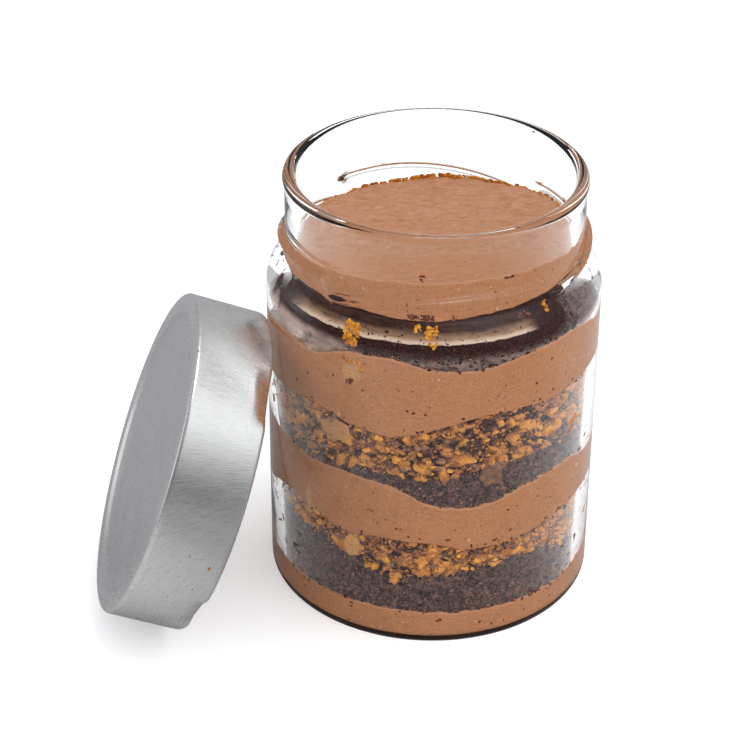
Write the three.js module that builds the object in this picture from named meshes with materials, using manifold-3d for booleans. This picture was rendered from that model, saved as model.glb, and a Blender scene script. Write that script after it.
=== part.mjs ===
// Layered chocolate cake in a glass jar, with its tinplate twist cap leaning on the jar.
// Millimetres, +Z up. The origin is on the jar's axis, on the flat underside of its glass.
// An azimuth is measured round the jar's axis from -Y, and grows towards +X.

import * as THREE from 'three';
import { mergeVertices } from 'three/addons/utils/BufferGeometryUtils.js';
import Module from 'manifold-3d';

const wasm = await Module();
wasm.setup();

// ---------------------------------------------------------------- driving sizes

const SEGMENTS = 48; // sides of every round
const HEEL_STEPS = 3; // steps of the jar's roundings, in its profile
const SHOULDER_STEPS = 6;
const RIM_STEPS = 6;
const DEG = Math.PI / 180;

// glass jar
const BODY_RADIUS = 36.7;
const BODY_WALL = 2.5;
const HEEL_ROUNDING = 2.5;
const FLOOR_THICKNESS = 1.9;
const INNER_HEEL_ROUNDING = 2.0;
const SHOULDER_START = 72.8; // where the straight body ends
const SHOULDER_BEND = 76.5; // height that sets how full the shoulder is
const NECK_FOOT = 80.2;
const NECK_FOOT_RADIUS = 33.0;
const NECK_FOOT_BLEND = 1.0; // height over which the shoulder turns into the neck
const NECK_RADIUS = 32.4;
const NECK_INNER_RADIUS = 29.8;
const INNER_SHOULDER_START = 71.3;
const INNER_SHOULDER_END = 81.2;
const RIM_RADIUS = 32.8;
const RIM_FLARE = 2.2; // height over which the neck widens to the rim
const JAR_HEIGHT = 99.2;

// slanted ridges that the cap grips
const LUG_COUNT = 4;
const LUG_FIRST_AZIMUTH = -44;
const LUG_SPAN = 88;
const LUG_START_HEIGHT = 80.7;
const LUG_RISE = 4.4;
const LUG_CLIMB = 0.8; // share of its length over which a ridge climbs before it runs level
const LUG_PROUD = 1.7;
const LUG_WIDTH = 2.8;
const LUG_STEPS = 11;
const LUG_ROOT = 0.8; // how deep a ridge is sunk in the neck's wall
const LUG_END_SINK = 0.2; // how far its ends sink below the neck's surface
const LUG_END_CUT = 0.03; // share of its taper cut off at each end
const LUG_END_WIDTH = 0.45; // width of its ends, as a share of LUG_WIDTH
const LUG_CREST_WIDTH = 0.35; // width of its crest, as a share of its foot's

// contents
const GAP = 0.3; // between two pieces that touch
const SHOWN_AZIMUTHS = [-75, -60, -45, -30, -15, 0, 15, 30, 45, 60, 75];
const BACK_WAVE = 0.7; // height of the waves of a boundary at the back
const MID_RING = 0.62; // where a layer's inner ring of corners lies, as a share of its radius
const TOP_RINGS = [0.35, 0.7]; // the same for the topmost layer

// Height of each boundary at the glass, one for each of SHOWN_AZIMUTHS.
const BOUNDARIES = {
  topMousseFoot: [78.6, 78.9, 79.4, 79.4, 79.0, 79.1, 79.6, 80.2, 81.0, 80.9, 80.3],
  upperMousseTop: [68.2, 68.4, 68.3, 71.4, 72.0, 69.9, 69.5, 70.7, 71.6, 71.7, 69.5],
  upperMousseFoot: [54.2, 54.8, 56.0, 54.1, 53.1, 55.2, 57.8, 58.4, 57.8, 58.4, 58.9],
  upperCrunchFoot: [43.8, 43.4, 42.5, 43.1, 42.8, 42.4, 43.0, 44.9, 44.9, 44.4, 43.8],
  lowerMousseTop: [42.6, 42.0, 41.1, 41.6, 40.7, 36.2, 35.2, 37.2, 38.9, 38.6, 36.9],
  lowerMousseFoot: [26.3, 29.2, 27.9, 26.1, 27.0, 26.4, 24.9, 24.6, 26.1, 27.3, 28.0],
  lowerCrunchFoot: [23.0, 24.0, 22.0, 20.0, 16.6, 17.0, 18.4, 19.2, 18.2, 15.5, 15.2],
  bottomCakeFoot: [8.2, 8.3, 8.0, 7.9, 8.2, 7.9, 7.6, 7.6, 7.5, 8.0, 8.6],
};

// the top of the jar's uppermost mousse slopes down to the back
const TOP_HEIGHT = 85.6;
const TOP_SLOPE_X = 0.04;
const TOP_SLOPE_Y = -0.092;
const TOP_UNEVENNESS = 0.25;
const TOP_WAVE_X = 6; // mm for each radian of its unevenness
const TOP_WAVE_Y = 7;

// broken biscuit in the two crunch layers
const CRUNCH_CORE_INSET = 2.0;
const UPPER_CRUNCH_PIECES = 44;
const LOWER_CRUNCH_PIECES = 60;
const CRUNCH_LENGTH = [3.2, 6.4];
const CRUNCH_WIDTH = [2.4, 3.8];
const CRUNCH_THICKNESS = 3.0;
const CRUNCH_SINK = 0.42; // how far a piece's centre lies behind the glass, in thicknesses
const CRUNCH_LEAN = 18; // degrees off the glass
const CRUNCH_ANGULARITY = [0.8, 1.2]; // how far each corner is moved in or out
const CRUNCH_ZONE = [0.15, 0.85]; // heights of the centres, as shares of the layer's
const GOLDEN_ANGLE = 137.508; // turn from one piece to the next, which spreads them evenly
const CRUMB_RELIEF = 0.7; // depth of the hollows in a cake layer's side
const RELIEF_ROWS = 8;

// pieces that lie against the glass on another layer: azimuth, height, length, width
const GOLDEN_CRUMBS = [
  [-28.7, 75.9, 4.6, 3.0],
  [-0.2, 76.8, 4.2, 2.0],
  [43.0, 78.2, 3.2, 1.8],
];
const MOUSSE_CHUNK = [-28.5, 67.1, 4.0, 3.0];

// cap
const CAP_RADIUS = 36.2;
const CAP_HEIGHT = 17.0;
const CAP_WALL = 0.7;
const CAP_EDGE_ROUNDING = 0.9;
const CAP_RING_WIDTH = 3.8; // raised ring round the sunk panel
const CAP_PANEL_DEPTH = 0.8;
const CAP_STEP_WIDTH = 0.9; // width of the step from ring to panel, outside
const CAP_INNER_STEP = [-1.2, 0.3]; // foot and head of the same step inside, from the ring's edge
const CAP_CORNER = 0.5; // bevel inside the closed edge
const CURL_RADIUS = 0.85;
const CURL_TOP = 2.4; // where the wall leaves the curled edge, in curl radii
const CURL_STEPS = 5; // steps of the cap's roundings, in its profile
const EDGE_STEPS = 3;
const CAP_LUG_COUNT = 4;
const CAP_LUG_FIRST = 60; // turn of the first pressed lug about the cap's axis
const CAP_LUG_SPAN = 22;
const CAP_LUG_DEPTH = 1.7;
const CAP_LUG_HEIGHT = 4; // height that a pressed lug reaches, in curl radii
const CAP_LUG_RAMP = [0.2, 0.6]; // where it starts and ends, in spans from its middle
const CAP_TURN = 188.1; // direction in which the cap's closed end faces, from +X
const CAP_TILT = 20.7; // how far it faces up
const CAP_PLACE_TURN = -157.9; // direction of the cap's open end from the jar's axis
const CAP_PLACE_DISTANCE = 50.45;

const COLOURS = {
  glass: 0xe8eeec,
  mousse: 0xb58560,
  cake: 0x3a2824,
  crunch: 0xa9713a,
  tinplate: 0xb9b9ba,
};

// ---------------------------------------------------------------- helpers

const { lerp, smoothstep } = THREE.MathUtils;

function seededRandom(seed) {
  let state = seed;
  return () => {
    state = (state * 1664525 + 1013904223) % 4294967296;
    return state / 4294967296;
  };
}

function arc(centreRadius, centreHeight, radius, from, to, steps) {
  const points = [];
  for (let i = 0; i <= steps; i += 1) {
    const angle = lerp(from, to, i / steps) * DEG;
    const x = centreRadius + radius * Math.cos(angle);
    const y = centreHeight + radius * Math.sin(angle);
    points.push(new THREE.Vector2(x, y));
  }
  return points;
}

function point(radius, height) {
  return new THREE.Vector2(radius, height);
}

// A lathed solid. place(azimuth, index, point) may move each corner of the profile.
function lathed(profile, place = null) {
  const geometry = new THREE.LatheGeometry(profile, SEGMENTS);
  const position = geometry.attributes.position;
  for (let side = 0; side <= SEGMENTS; side += 1) {
    const azimuth = ((side % SEGMENTS) * 360) / SEGMENTS;
    profile.forEach((corner, index) => {
      const { x, y } = place ? place(azimuth, index, corner) : corner;
      const angle = azimuth * DEG;
      const vertex = side * profile.length + index;
      position.setXYZ(vertex, x * Math.sin(angle), -x * Math.cos(angle), y);
    });
  }
  return cleaned(geometry);
}

function cleaned(geometry) {
  geometry.deleteAttribute('normal');
  geometry.deleteAttribute('uv');
  const merged = mergeVertices(geometry, 1e-4);
  const kept = [];
  const { array } = merged.index;
  for (let i = 0; i < array.length; i += 3) {
    const [a, b, c] = array.subarray(i, i + 3);
    if (a !== b && b !== c && c !== a) kept.push(a, b, c);
  }
  merged.setIndex(kept);
  return merged;
}

function toSolid(geometry) {
  const vertProperties = new Float32Array(geometry.attributes.position.array);
  const triVerts = new Uint32Array(geometry.index.array);
  return new wasm.Manifold(new wasm.Mesh({ numProp: 3, vertProperties, triVerts }));
}

function toGeometry(solid) {
  const mesh = solid.getMesh();
  const geometry = new THREE.BufferGeometry();
  geometry.setAttribute('position', new THREE.BufferAttribute(mesh.vertProperties, 3));
  geometry.setIndex(new THREE.BufferAttribute(mesh.triVerts, 1));
  return geometry;
}

function joined(geometries) {
  const [first, ...others] = geometries.map(toSolid);
  return toGeometry(others.reduce((solid, other) => solid.add(other), first));
}

// ---------------------------------------------------------------- glass jar

const BODY_INNER_RADIUS = BODY_RADIUS - BODY_WALL;

// Radius of the jar's inner wall at a height.
function innerRadius(height) {
  const inNeck = smoothstep(height, INNER_SHOULDER_START, INNER_SHOULDER_END);
  const radius = lerp(BODY_INNER_RADIUS, NECK_INNER_RADIUS, inNeck);
  const rise = Math.min(height - FLOOR_THICKNESS, INNER_HEEL_ROUNDING);
  const run = Math.sqrt(INNER_HEEL_ROUNDING ** 2 - (INNER_HEEL_ROUNDING - rise) ** 2);
  return radius - INNER_HEEL_ROUNDING + run;
}

function jarProfile() {
  const shoulder = new THREE.QuadraticBezierCurve(
    point(BODY_RADIUS, SHOULDER_START),
    point(BODY_RADIUS, SHOULDER_BEND),
    point(NECK_FOOT_RADIUS, NECK_FOOT),
  );
  const rimRounding = (RIM_RADIUS - NECK_INNER_RADIUS) / 2;
  const rimHeight = JAR_HEIGHT - rimRounding;
  const inner = [];
  for (let i = 0; i <= SHOULDER_STEPS; i += 1) {
    const height = lerp(INNER_SHOULDER_END, INNER_SHOULDER_START, i / SHOULDER_STEPS);
    inner.push(point(innerRadius(height), height));
  }
  for (let i = 0; i <= HEEL_STEPS; i += 1) {
    const angle = (i / HEEL_STEPS) * 90 * DEG;
    const height = FLOOR_THICKNESS + INNER_HEEL_ROUNDING * (1 - Math.sin(angle));
    inner.push(point(innerRadius(height), height));
  }
  return [
    point(0, 0),
    ...arc(BODY_RADIUS - HEEL_ROUNDING, HEEL_ROUNDING, HEEL_ROUNDING, -90, 0, HEEL_STEPS),
    ...shoulder.getPoints(SHOULDER_STEPS),
    point(NECK_RADIUS, NECK_FOOT + NECK_FOOT_BLEND),
    point(NECK_RADIUS, rimHeight - RIM_FLARE),
    ...arc(NECK_INNER_RADIUS + rimRounding, rimHeight, rimRounding, 0, 180, RIM_STEPS),
    ...inner,
    point(0, FLOOR_THICKNESS),
  ];
}

// One slanted ridge round the neck. It climbs, then runs level, and thins to nothing at
// both ends.
function neckLug(number) {
  const section = 4;
  const vertices = [];
  const faces = [];
  for (let i = 0; i <= LUG_STEPS; i += 1) {
    const along = i / LUG_STEPS;
    const azimuth = LUG_FIRST_AZIMUTH + (number * 360) / LUG_COUNT + along * LUG_SPAN;
    const taper = lerp(LUG_END_CUT, 1 - LUG_END_CUT, along);
    const fullness = Math.sqrt(Math.sin(Math.PI * taper));
    const climb = Math.sin((Math.PI / 2) * Math.min(1, along / LUG_CLIMB));
    const height = LUG_START_HEIGHT + LUG_RISE * climb;
    const halfWidth = (LUG_WIDTH / 2) * lerp(LUG_END_WIDTH, 1, fullness);
    const halfCrest = halfWidth * LUG_CREST_WIDTH;
    const root = NECK_RADIUS - LUG_ROOT;
    const crest = NECK_RADIUS - LUG_END_SINK + LUG_PROUD * fullness;
    const corners = [
      [root, height - halfWidth],
      [crest, height - halfCrest],
      [crest, height + halfCrest],
      [root, height + halfWidth],
    ];
    corners.forEach(([radius, z]) => {
      const angle = azimuth * DEG;
      vertices.push(radius * Math.sin(angle), -radius * Math.cos(angle), z);
    });
    if (i > 0) {
      for (let k = 0; k < section; k += 1) {
        const a = (i - 1) * section + k;
        const b = (i - 1) * section + ((k + 1) % section);
        faces.push(a, a + section, b, b, a + section, b + section);
      }
    }
  }
  const last = LUG_STEPS * section;
  faces.push(0, 1, 2, 0, 2, 3, last, last + 2, last + 1, last, last + 3, last + 2);
  const geometry = new THREE.BufferGeometry();
  geometry.setAttribute('position', new THREE.Float32BufferAttribute(vertices, 3));
  geometry.setIndex(faces);
  return geometry;
}

function jarGlass() {
  const parts = [lathed(jarProfile())];
  for (let i = 0; i < LUG_COUNT; i += 1) parts.push(neckLug(i));
  return joined(parts);
}

// ---------------------------------------------------------------- contents

// Height of a boundary at the glass: a smooth curve through the shown heights, and
// gentle waves round the back from the last of them to the first.
function boundary(name) {
  const heights = BOUNDARIES[name];
  const first = SHOWN_AZIMUTHS[0];
  const last = SHOWN_AZIMUTHS[SHOWN_AZIMUTHS.length - 1];
  const step = SHOWN_AZIMUTHS[1] - first;
  const backSteps = (360 - (last - first)) / step;
  const ring = [...heights];
  for (let i = 1; i < backSteps; i += 1) {
    const along = i / backSteps;
    const wave = BACK_WAVE * Math.sin(along * 4 * Math.PI);
    ring.push(lerp(heights[heights.length - 1], heights[0], smoothstep(along, 0, 1)) + wave);
  }
  const curve = new THREE.CatmullRomCurve3(
    ring.map((height, i) => new THREE.Vector3(i, height, 0)),
  );
  curve.closed = true;
  return (azimuth) => {
    const turn = (((azimuth - first) % 360) + 360) % 360;
    return curve.getPoint(turn / 360).y;
  };
}

const boundaries = Object.fromEntries(
  Object.keys(BOUNDARIES).map((name) => [name, boundary(name)]),
);

// Height over the whole layer: level in the middle, as shown at the glass.
function spread(heightAtGlass) {
  const shown = SHOWN_AZIMUTHS.map(heightAtGlass);
  const middle = shown.reduce((sum, height) => sum + height, 0) / shown.length;
  return (azimuth, share) => lerp(middle, heightAtGlass(azimuth), share ** 2);
}

function topOfMousse(azimuth, share) {
  const radius = share * NECK_INNER_RADIUS;
  const x = radius * Math.sin(azimuth * DEG);
  const y = -radius * Math.cos(azimuth * DEG);
  const wave = Math.sin(x / TOP_WAVE_X + 1) * Math.cos(y / TOP_WAVE_Y);
  const uneven = TOP_UNEVENNESS * wave * (1 - share ** 4); // level at the glass
  return TOP_HEIGHT + TOP_SLOPE_X * x + TOP_SLOPE_Y * y + uneven;
}

// A layer that fills the jar from one boundary to another. relief(side, row) holds its
// side back from the glass, beyond the gap.
function layer(top, foot, { rings = [MID_RING], rows = 2, relief = () => 0 } = {}) {
  const shares = [0, ...rings, 1];
  const profile = [];
  const spots = [];
  shares.forEach((share) => spots.push({ share, down: 1 }));
  for (let row = 1; row < rows; row += 1) spots.push({ share: 1, down: 1 - row / rows });
  [...shares].reverse().forEach((share) => spots.push({ share, down: 0 }));
  spots.forEach(({ share }) => profile.push(point(share, 0)));
  const place = (azimuth, index) => {
    const { share, down } = spots[profile.length - 1 - index];
    const high = top(azimuth, share) - GAP / 2;
    const low = foot(azimuth, share) + GAP / 2;
    const height = lerp(low, high, down);
    const side = Math.round((azimuth / 360) * SEGMENTS);
    const inset = GAP + (share === 1 ? relief(side, down) : 0);
    return point(share * (innerRadius(height) - inset), height);
  };
  return lathed(profile, place);
}

function crumbRelief(seed) {
  const random = seededRandom(seed);
  const spots = SEGMENTS * RELIEF_ROWS;
  const depths = Array.from({ length: spots }, () => random() * CRUMB_RELIEF);
  return (side, down) => depths[side * RELIEF_ROWS + Math.round(down * (RELIEF_ROWS - 1))];
}

// A broken, angular piece, pressed flat where it meets the glass.
function fragment(random, azimuth, height, length, width) {
  const geometry = new THREE.IcosahedronGeometry(0.5, 0);
  const piece = cleaned(geometry);
  const position = piece.attributes.position;
  for (let i = 0; i < position.count; i += 1) {
    const push = lerp(...CRUNCH_ANGULARITY, random());
    position.setXYZ(i, position.getX(i) * push, position.getY(i) * push, position.getZ(i) * push);
  }
  piece.scale(width, CRUNCH_THICKNESS, length);
  piece.rotateY(lerp(0, 180, random()) * DEG);
  piece.rotateX(lerp(-CRUNCH_LEAN, CRUNCH_LEAN, random()) * DEG);
  const reach = innerRadius(height) - GAP;
  piece.translate(0, -(reach - CRUNCH_THICKNESS * CRUNCH_SINK), height);
  piece.rotateZ(azimuth * DEG);
  for (let i = 0; i < position.count; i += 1) {
    const x = position.getX(i);
    const y = position.getY(i);
    const limit = innerRadius(position.getZ(i)) - GAP;
    const shrink = Math.min(1, limit / Math.hypot(x, y));
    position.setXY(i, x * shrink, y * shrink);
  }
  return piece;
}

function fits(piece, top, foot) {
  const position = piece.attributes.position;
  for (let i = 0; i < position.count; i += 1) {
    const azimuth = Math.atan2(position.getX(i), -position.getY(i)) / DEG;
    const z = position.getZ(i);
    if (z > top(azimuth, 1) - GAP || z < foot(azimuth, 1) + GAP) return false;
  }
  return true;
}

// A heap of broken biscuit: a core set back from the glass, with the pieces that show.
function crunchLayer(top, foot, count, seed) {
  const random = seededRandom(seed);
  const dents = crumbRelief(seed + 1);
  const relief = (side, down) => CRUNCH_CORE_INSET - GAP - dents(side, down);
  const parts = [layer(top, foot, { relief })];
  for (let i = 0; i < count; i += 1) {
    const size = 1 - i / count; // the largest come first
    const azimuth = (i * GOLDEN_ANGLE) % 360;
    const length = lerp(...CRUNCH_LENGTH, size);
    const width = lerp(...CRUNCH_WIDTH, size);
    const zone = lerp(...CRUNCH_ZONE, random());
    const height = lerp(foot(azimuth, 1), top(azimuth, 1), zone);
    const piece = fragment(random, azimuth, height, length, width);
    if (fits(piece, top, foot)) parts.push(piece);
  }
  return joined(parts);
}

// ---------------------------------------------------------------- cap

// Half section of the cap about its own axis, with its open end at height 0.
function capProfile() {
  const inner = CAP_RADIUS - CAP_WALL;
  const top = CAP_HEIGHT;
  const ceiling = top - CAP_WALL;
  const ringInner = CAP_RADIUS - CAP_RING_WIDTH;
  const panel = top - CAP_PANEL_DEPTH;
  const [stepFoot, stepHead] = CAP_INNER_STEP;
  const curl = CURL_RADIUS;
  const edge = CAP_EDGE_ROUNDING;
  return [
    point(0, panel - CAP_WALL),
    point(ringInner + stepFoot, panel - CAP_WALL),
    point(ringInner + stepHead, ceiling),
    point(inner - CAP_CORNER, ceiling),
    point(inner, ceiling - CAP_CORNER),
    point(inner, CURL_TOP * curl),
    ...arc(CAP_RADIUS - curl, curl, curl, 120, 360, CURL_STEPS),
    ...arc(CAP_RADIUS - edge, top - edge, edge, 0, 90, EDGE_STEPS),
    point(ringInner, top),
    point(ringInner - CAP_STEP_WIDTH, panel),
    point(0, panel),
  ];
}

// The curled edge is pressed inwards at each lug.
function pressedLugs(azimuth, index, corner) {
  const pitch = 360 / CAP_LUG_COUNT;
  const turn = ((((azimuth - CAP_LUG_FIRST) % pitch) + pitch * 1.5) % pitch) - pitch / 2;
  const [full, end] = CAP_LUG_RAMP;
  const press = 1 - smoothstep(Math.abs(turn), CAP_LUG_SPAN * full, CAP_LUG_SPAN * end);
  const nearEdge = 1 - smoothstep(corner.y, 0, CAP_LUG_HEIGHT * CURL_RADIUS);
  return point(corner.x - CAP_LUG_DEPTH * press * nearEdge, corner.y);
}

// The cap stands on its open edge and leans on the jar's side.
function capPlace() {
  const tilt = CAP_TILT * DEG;
  const turn = CAP_TURN * DEG;
  const axis = new THREE.Vector3(
    Math.cos(turn) * Math.cos(tilt), Math.sin(turn) * Math.cos(tilt), Math.sin(tilt),
  );
  const across = new THREE.Vector3(0, 0, 1).cross(axis).normalize();
  const up = new THREE.Vector3().crossVectors(axis, across);
  const place = new THREE.Matrix4().makeBasis(across, up, axis);
  const away = CAP_PLACE_TURN * DEG;
  const curlDrop = (CAP_RADIUS - CURL_RADIUS) * Math.cos(tilt) - CURL_RADIUS * Math.sin(tilt);
  return place.setPosition(
    CAP_PLACE_DISTANCE * Math.cos(away),
    CAP_PLACE_DISTANCE * Math.sin(away),
    curlDrop + CURL_RADIUS,
  );
}

function cap() {
  const geometry = lathed(capProfile(), pressedLugs);
  return geometry.applyMatrix4(capPlace());
}

// ---------------------------------------------------------------- assembly

const materials = {
  glass: new THREE.MeshStandardMaterial({
    color: COLOURS.glass, roughness: 0.03, transparent: true, opacity: 0.3,
  }),
  mousse: new THREE.MeshStandardMaterial({ color: COLOURS.mousse, roughness: 0.75 }),
  cake: new THREE.MeshStandardMaterial({ color: COLOURS.cake, roughness: 0.9 }),
  crunch: new THREE.MeshStandardMaterial({ color: COLOURS.crunch, roughness: 0.8 }),
  tinplate: new THREE.MeshStandardMaterial({
    color: COLOURS.tinplate, roughness: 0.35, metalness: 1,
  }),
};

const jar = new THREE.Group();

function addPiece(name, geometry, material) {
  const mesh = new THREE.Mesh(geometry, material);
  mesh.name = name;
  jar.add(mesh);
}

const levels = Object.fromEntries(
  Object.entries(boundaries).map(([name, height]) => [name, spread(height)]),
);
const jarFloor = () => FLOOR_THICKNESS + GAP / 2;
const crumbs = GOLDEN_CRUMBS.map((size) => fragment(seededRandom(7), ...size));
const chunk = fragment(seededRandom(11), ...MOUSSE_CHUNK);

addPiece('jar_glass', jarGlass(), materials.glass);
addPiece(
  'mousse_top',
  layer(topOfMousse, levels.topMousseFoot, { rings: TOP_RINGS }),
  materials.mousse,
);
addPiece(
  'cake_top',
  joined([
    layer(levels.topMousseFoot, levels.upperMousseTop, { rows: 4, relief: crumbRelief(3) }),
    ...crumbs,
  ]),
  materials.cake,
);
addPiece(
  'mousse_upper',
  joined([layer(levels.upperMousseTop, levels.upperMousseFoot), chunk]),
  materials.mousse,
);
addPiece(
  'crunch_upper',
  crunchLayer(levels.upperMousseFoot, levels.upperCrunchFoot, UPPER_CRUNCH_PIECES, 21),
  materials.crunch,
);
addPiece(
  'cake_middle',
  layer(levels.upperCrunchFoot, levels.lowerMousseTop, { relief: crumbRelief(5) }),
  materials.cake,
);
addPiece(
  'mousse_lower',
  layer(levels.lowerMousseTop, levels.lowerMousseFoot),
  materials.mousse,
);
addPiece(
  'crunch_lower',
  crunchLayer(levels.lowerMousseFoot, levels.lowerCrunchFoot, LOWER_CRUNCH_PIECES, 42),
  materials.crunch,
);
addPiece(
  'cake_bottom',
  layer(levels.lowerCrunchFoot, levels.bottomCakeFoot, { rows: 3, relief: crumbRelief(9) }),
  materials.cake,
);
addPiece('mousse_base', layer(levels.bottomCakeFoot, jarFloor, { rows: 3 }), materials.mousse);
addPiece('cap', cap(), materials.tinplate);

export default jar;
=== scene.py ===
import math
from collections import namedtuple
from itertools import product

import bpy
import numpy as np
from bpy.props import FloatProperty, FloatVectorProperty, IntProperty, PointerProperty
from mathutils import Matrix, Vector


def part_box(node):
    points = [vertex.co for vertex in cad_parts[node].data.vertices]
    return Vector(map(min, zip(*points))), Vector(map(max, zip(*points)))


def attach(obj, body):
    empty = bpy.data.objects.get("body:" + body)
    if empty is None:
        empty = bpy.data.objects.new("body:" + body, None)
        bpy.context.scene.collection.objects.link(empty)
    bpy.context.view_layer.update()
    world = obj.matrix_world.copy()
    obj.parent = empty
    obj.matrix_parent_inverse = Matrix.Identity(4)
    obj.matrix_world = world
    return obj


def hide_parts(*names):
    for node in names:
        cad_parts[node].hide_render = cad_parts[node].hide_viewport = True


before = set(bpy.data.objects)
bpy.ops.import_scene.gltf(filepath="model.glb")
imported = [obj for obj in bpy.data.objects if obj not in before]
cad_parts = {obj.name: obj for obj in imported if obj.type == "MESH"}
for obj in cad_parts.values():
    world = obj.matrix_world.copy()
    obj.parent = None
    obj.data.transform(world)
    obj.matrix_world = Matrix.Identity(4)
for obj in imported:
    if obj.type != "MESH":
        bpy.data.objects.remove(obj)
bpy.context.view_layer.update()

bl_info = {
    "name": "Cake in a Jar",
    "version": (1, 0, 0),
    "blender": (4, 5, 0),
    "location": "3D View > Sidebar > Cake Jar",
    "description": "Builds a layered chocolate cake in a glass jar with its twist cap",
    "category": "Add Mesh",
}

MM = 0.001

# ------------------------------------------------------------------ sizes that stay

# Profile of the jar, in metres. An azimuth is measured from -Y and grows towards +X.
BODY_WALL = 2.5 * MM
HEEL_ROUNDING = 2.5 * MM
FLOOR_THICKNESS = 1.3 * MM
INNER_HEEL_ROUNDING = 1.4 * MM
SHOULDER_START = 72.8 * MM
SHOULDER_BEND = 76.5 * MM
NECK_FOOT = 80.2 * MM
NECK_FOOT_RADIUS = 33.0 * MM
NECK_FOOT_BEND = 0.6 * MM
NECK_FOOT_END = 1.5 * MM
NECK_RADIUS = 32.4 * MM
NECK_INNER_RADIUS = 29.8 * MM
INNER_SHOULDER_START = 71.3 * MM
INNER_SHOULDER_END = 81.2 * MM
RIM_RADIUS = 32.8 * MM
RIM_ROUNDING = (RIM_RADIUS - NECK_INNER_RADIUS) / 2
RIM_FLARE = 2.2 * MM

# Slanted ridges round the neck
LUG_COUNT = 4
LUG_FIRST_AZIMUTH = -44
LUG_SPAN = 88
LUG_START_HEIGHT = 80.7 * MM
LUG_RISE = 4.4 * MM
LUG_CLIMB = 0.8  # share of its length over which a ridge climbs before it runs level
LUG_RUN_IN = (-0.04, 0.1)  # shares of its length between which a ridge rises
LUG_RUN_OUT = (0.93, 1.03)
LUG_PROUD = 1.65 * MM
LUG_HALF_ABOVE = 1.15 * MM
LUG_HALF_BELOW = 1.4 * MM

CAD_SIDES = 48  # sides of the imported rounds
CAD_GAP = 0.3 * MM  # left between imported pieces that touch
CAD_SIDE_DEPTH = 1.2 * MM  # how far behind the glass a packed layer's side may lie

COLUMNS = 600  # corners round a layer
GLASS_STEPS = 360
CAP_STEPS = 288
GLASS_CONTACT = 0.15 * MM  # how far what wets the glass reaches into its wall
TIP_CONTACT = 0.02 * MM  # how far the tips of what is dry reach into it
FLAT_RINGS = 8  # rings of corners in the flat foot or top of a layer
LIP_HIGHLIGHT_HEIGHT = 0.45 * MM  # of the painted highlight along the thin upper edge of a layer of mousse
BUBBLES = 26  # bubbles trapped between a layer of mousse and the glass
BUBBLE_DEPTH = 0.6 * MM
CUT_CRUMBS = 4200  # crumbs that stand proud of each lower layer of cake
PRESSED_CRUMBS = 2600  # crumbs in the pressed cake, all round
BISCUIT_CLUSTERS = 150
EDGE_SPECKS = 150  # specks at the edges of each layer of mousse
BACK_WALL_CRUMBS = 300
CORE_DEPTH = 2.8 * MM  # how far the core of the crunch lies behind the glass
CRUNCH_SHADE = 0.26  # painted shade: how much darker a piece of crunch is below and deep behind the glass, and lighter on top
CHUNK_DEPTH = 3.2 * MM
CHUNK_PRESS = 0.8 * MM  # how much of a chunk is cut off by the glass
STUCK = -0.3 * MM  # inset of a crumb that sticks to the glass

FILM_AND_REFLECTION_HEIGHT = 74.8  # lower edge of the band of melted mousse and painted reflection, in mm
FILM_AND_REFLECTION_LEFT = (-62, -50)  # azimuths between which it begins
FILM_AND_REFLECTION_RIGHT = (34, 41)  # and ends
PRESSED_LEFT = (-76, -64)  # the same for the pressed cake
PRESSED_RIGHT = (54, 62)
PRESSED_FOOT = (71.5 * MM, 73.5 * MM)  # heights between which it begins
PRESSED_CRUMBS_END = 58
SMEAR_BEHIND = (-130, -90)  # azimuths between which the smear begins
SMEAR_FRONT = (-50, -24)
SMEAR_END = -32  # azimuth up to which no crumbs show in it
SMEAR_FOOT = (71.2, 72.4)  # in mm
SMEAR_TOP = 73.8

# Crumbs gathered against the glass: azimuth and height of a cluster's middle, its width and
# height in mm, and how many crumbs it has
GOLDEN_CLUSTERS = (
    (-29.6, 74.8, 3.4, 3.6, 84), (-5.4, 77.4, 1.4, 1.2, 9), (-0.4, 76.8, 2.2, 2.2, 22),
    (0.6, 74.7, 2.0, 0.8, 9), (46.5, 77.8, 1.4, 2.6, 13), (-28.6, 69.5, 3.4, 0.5, 9),
    (-25.0, 68.4, 0.5, 2.0, 6),
)
DARK_CLUSTERS = (
    (-4.5, 79.8, 5.4, 1.3, 60), (-37.5, 80.9, 3.6, 0.8, 60), (8.4, 79.6, 0.9, 1.4, 8),
    (36.0, 77.8, 2.6, 1.0, 14), (-42.0, 78.2, 0.9, 0.8, 5), (-5.6, 83.0, 0.8, 0.5, 3),
    (-4.4, 89.0, 0.9, 1.6, 4), (3.9, 84.8, 0.7, 0.6, 2), (24.2, 83.4, 0.6, 0.5, 2),
    (29.5, 87.8, 2.4, 0.3, 9), (-15.1, 31.9, 0.9, 0.6, 2), (-11.1, 29.9, 1.6, 0.6, 4),
    (6.6, 27.5, 1.2, 0.5, 3), (24.7, 26.0, 3.2, 1.2, 7), (53.3, 26.4, 1.8, 2.2, 6),
    (-28.9, 64.6, 1.6, 1.2, 20),
)
# Large pale chunks of biscuit: azimuth and height of the middle, width, height and tone
PALE_CHUNKS = (
    (-35.6, 50.9, 6.4, 5.6, 0.62),
    (-28.9, 22.7, 3.5, 5.0, 0.84),
    (-28.1, 67.2, 4.4, 5.0, 0.66),
    (22.0, 42.9, 4.2, 5.0, 0.10),
    (-48.0, 30.6, 2.6, 5.0, 0.75),
)
# Crumbs on the rim: azimuth and distance from the axis in mm
RIM_CRUMBS = (
    (-96.6, 30.9), (-88.3, 30.2), (-78.2, 30.5), (139.0, 30.8), (134.6, 30.2), (65.3, 29.9),
)
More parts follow.
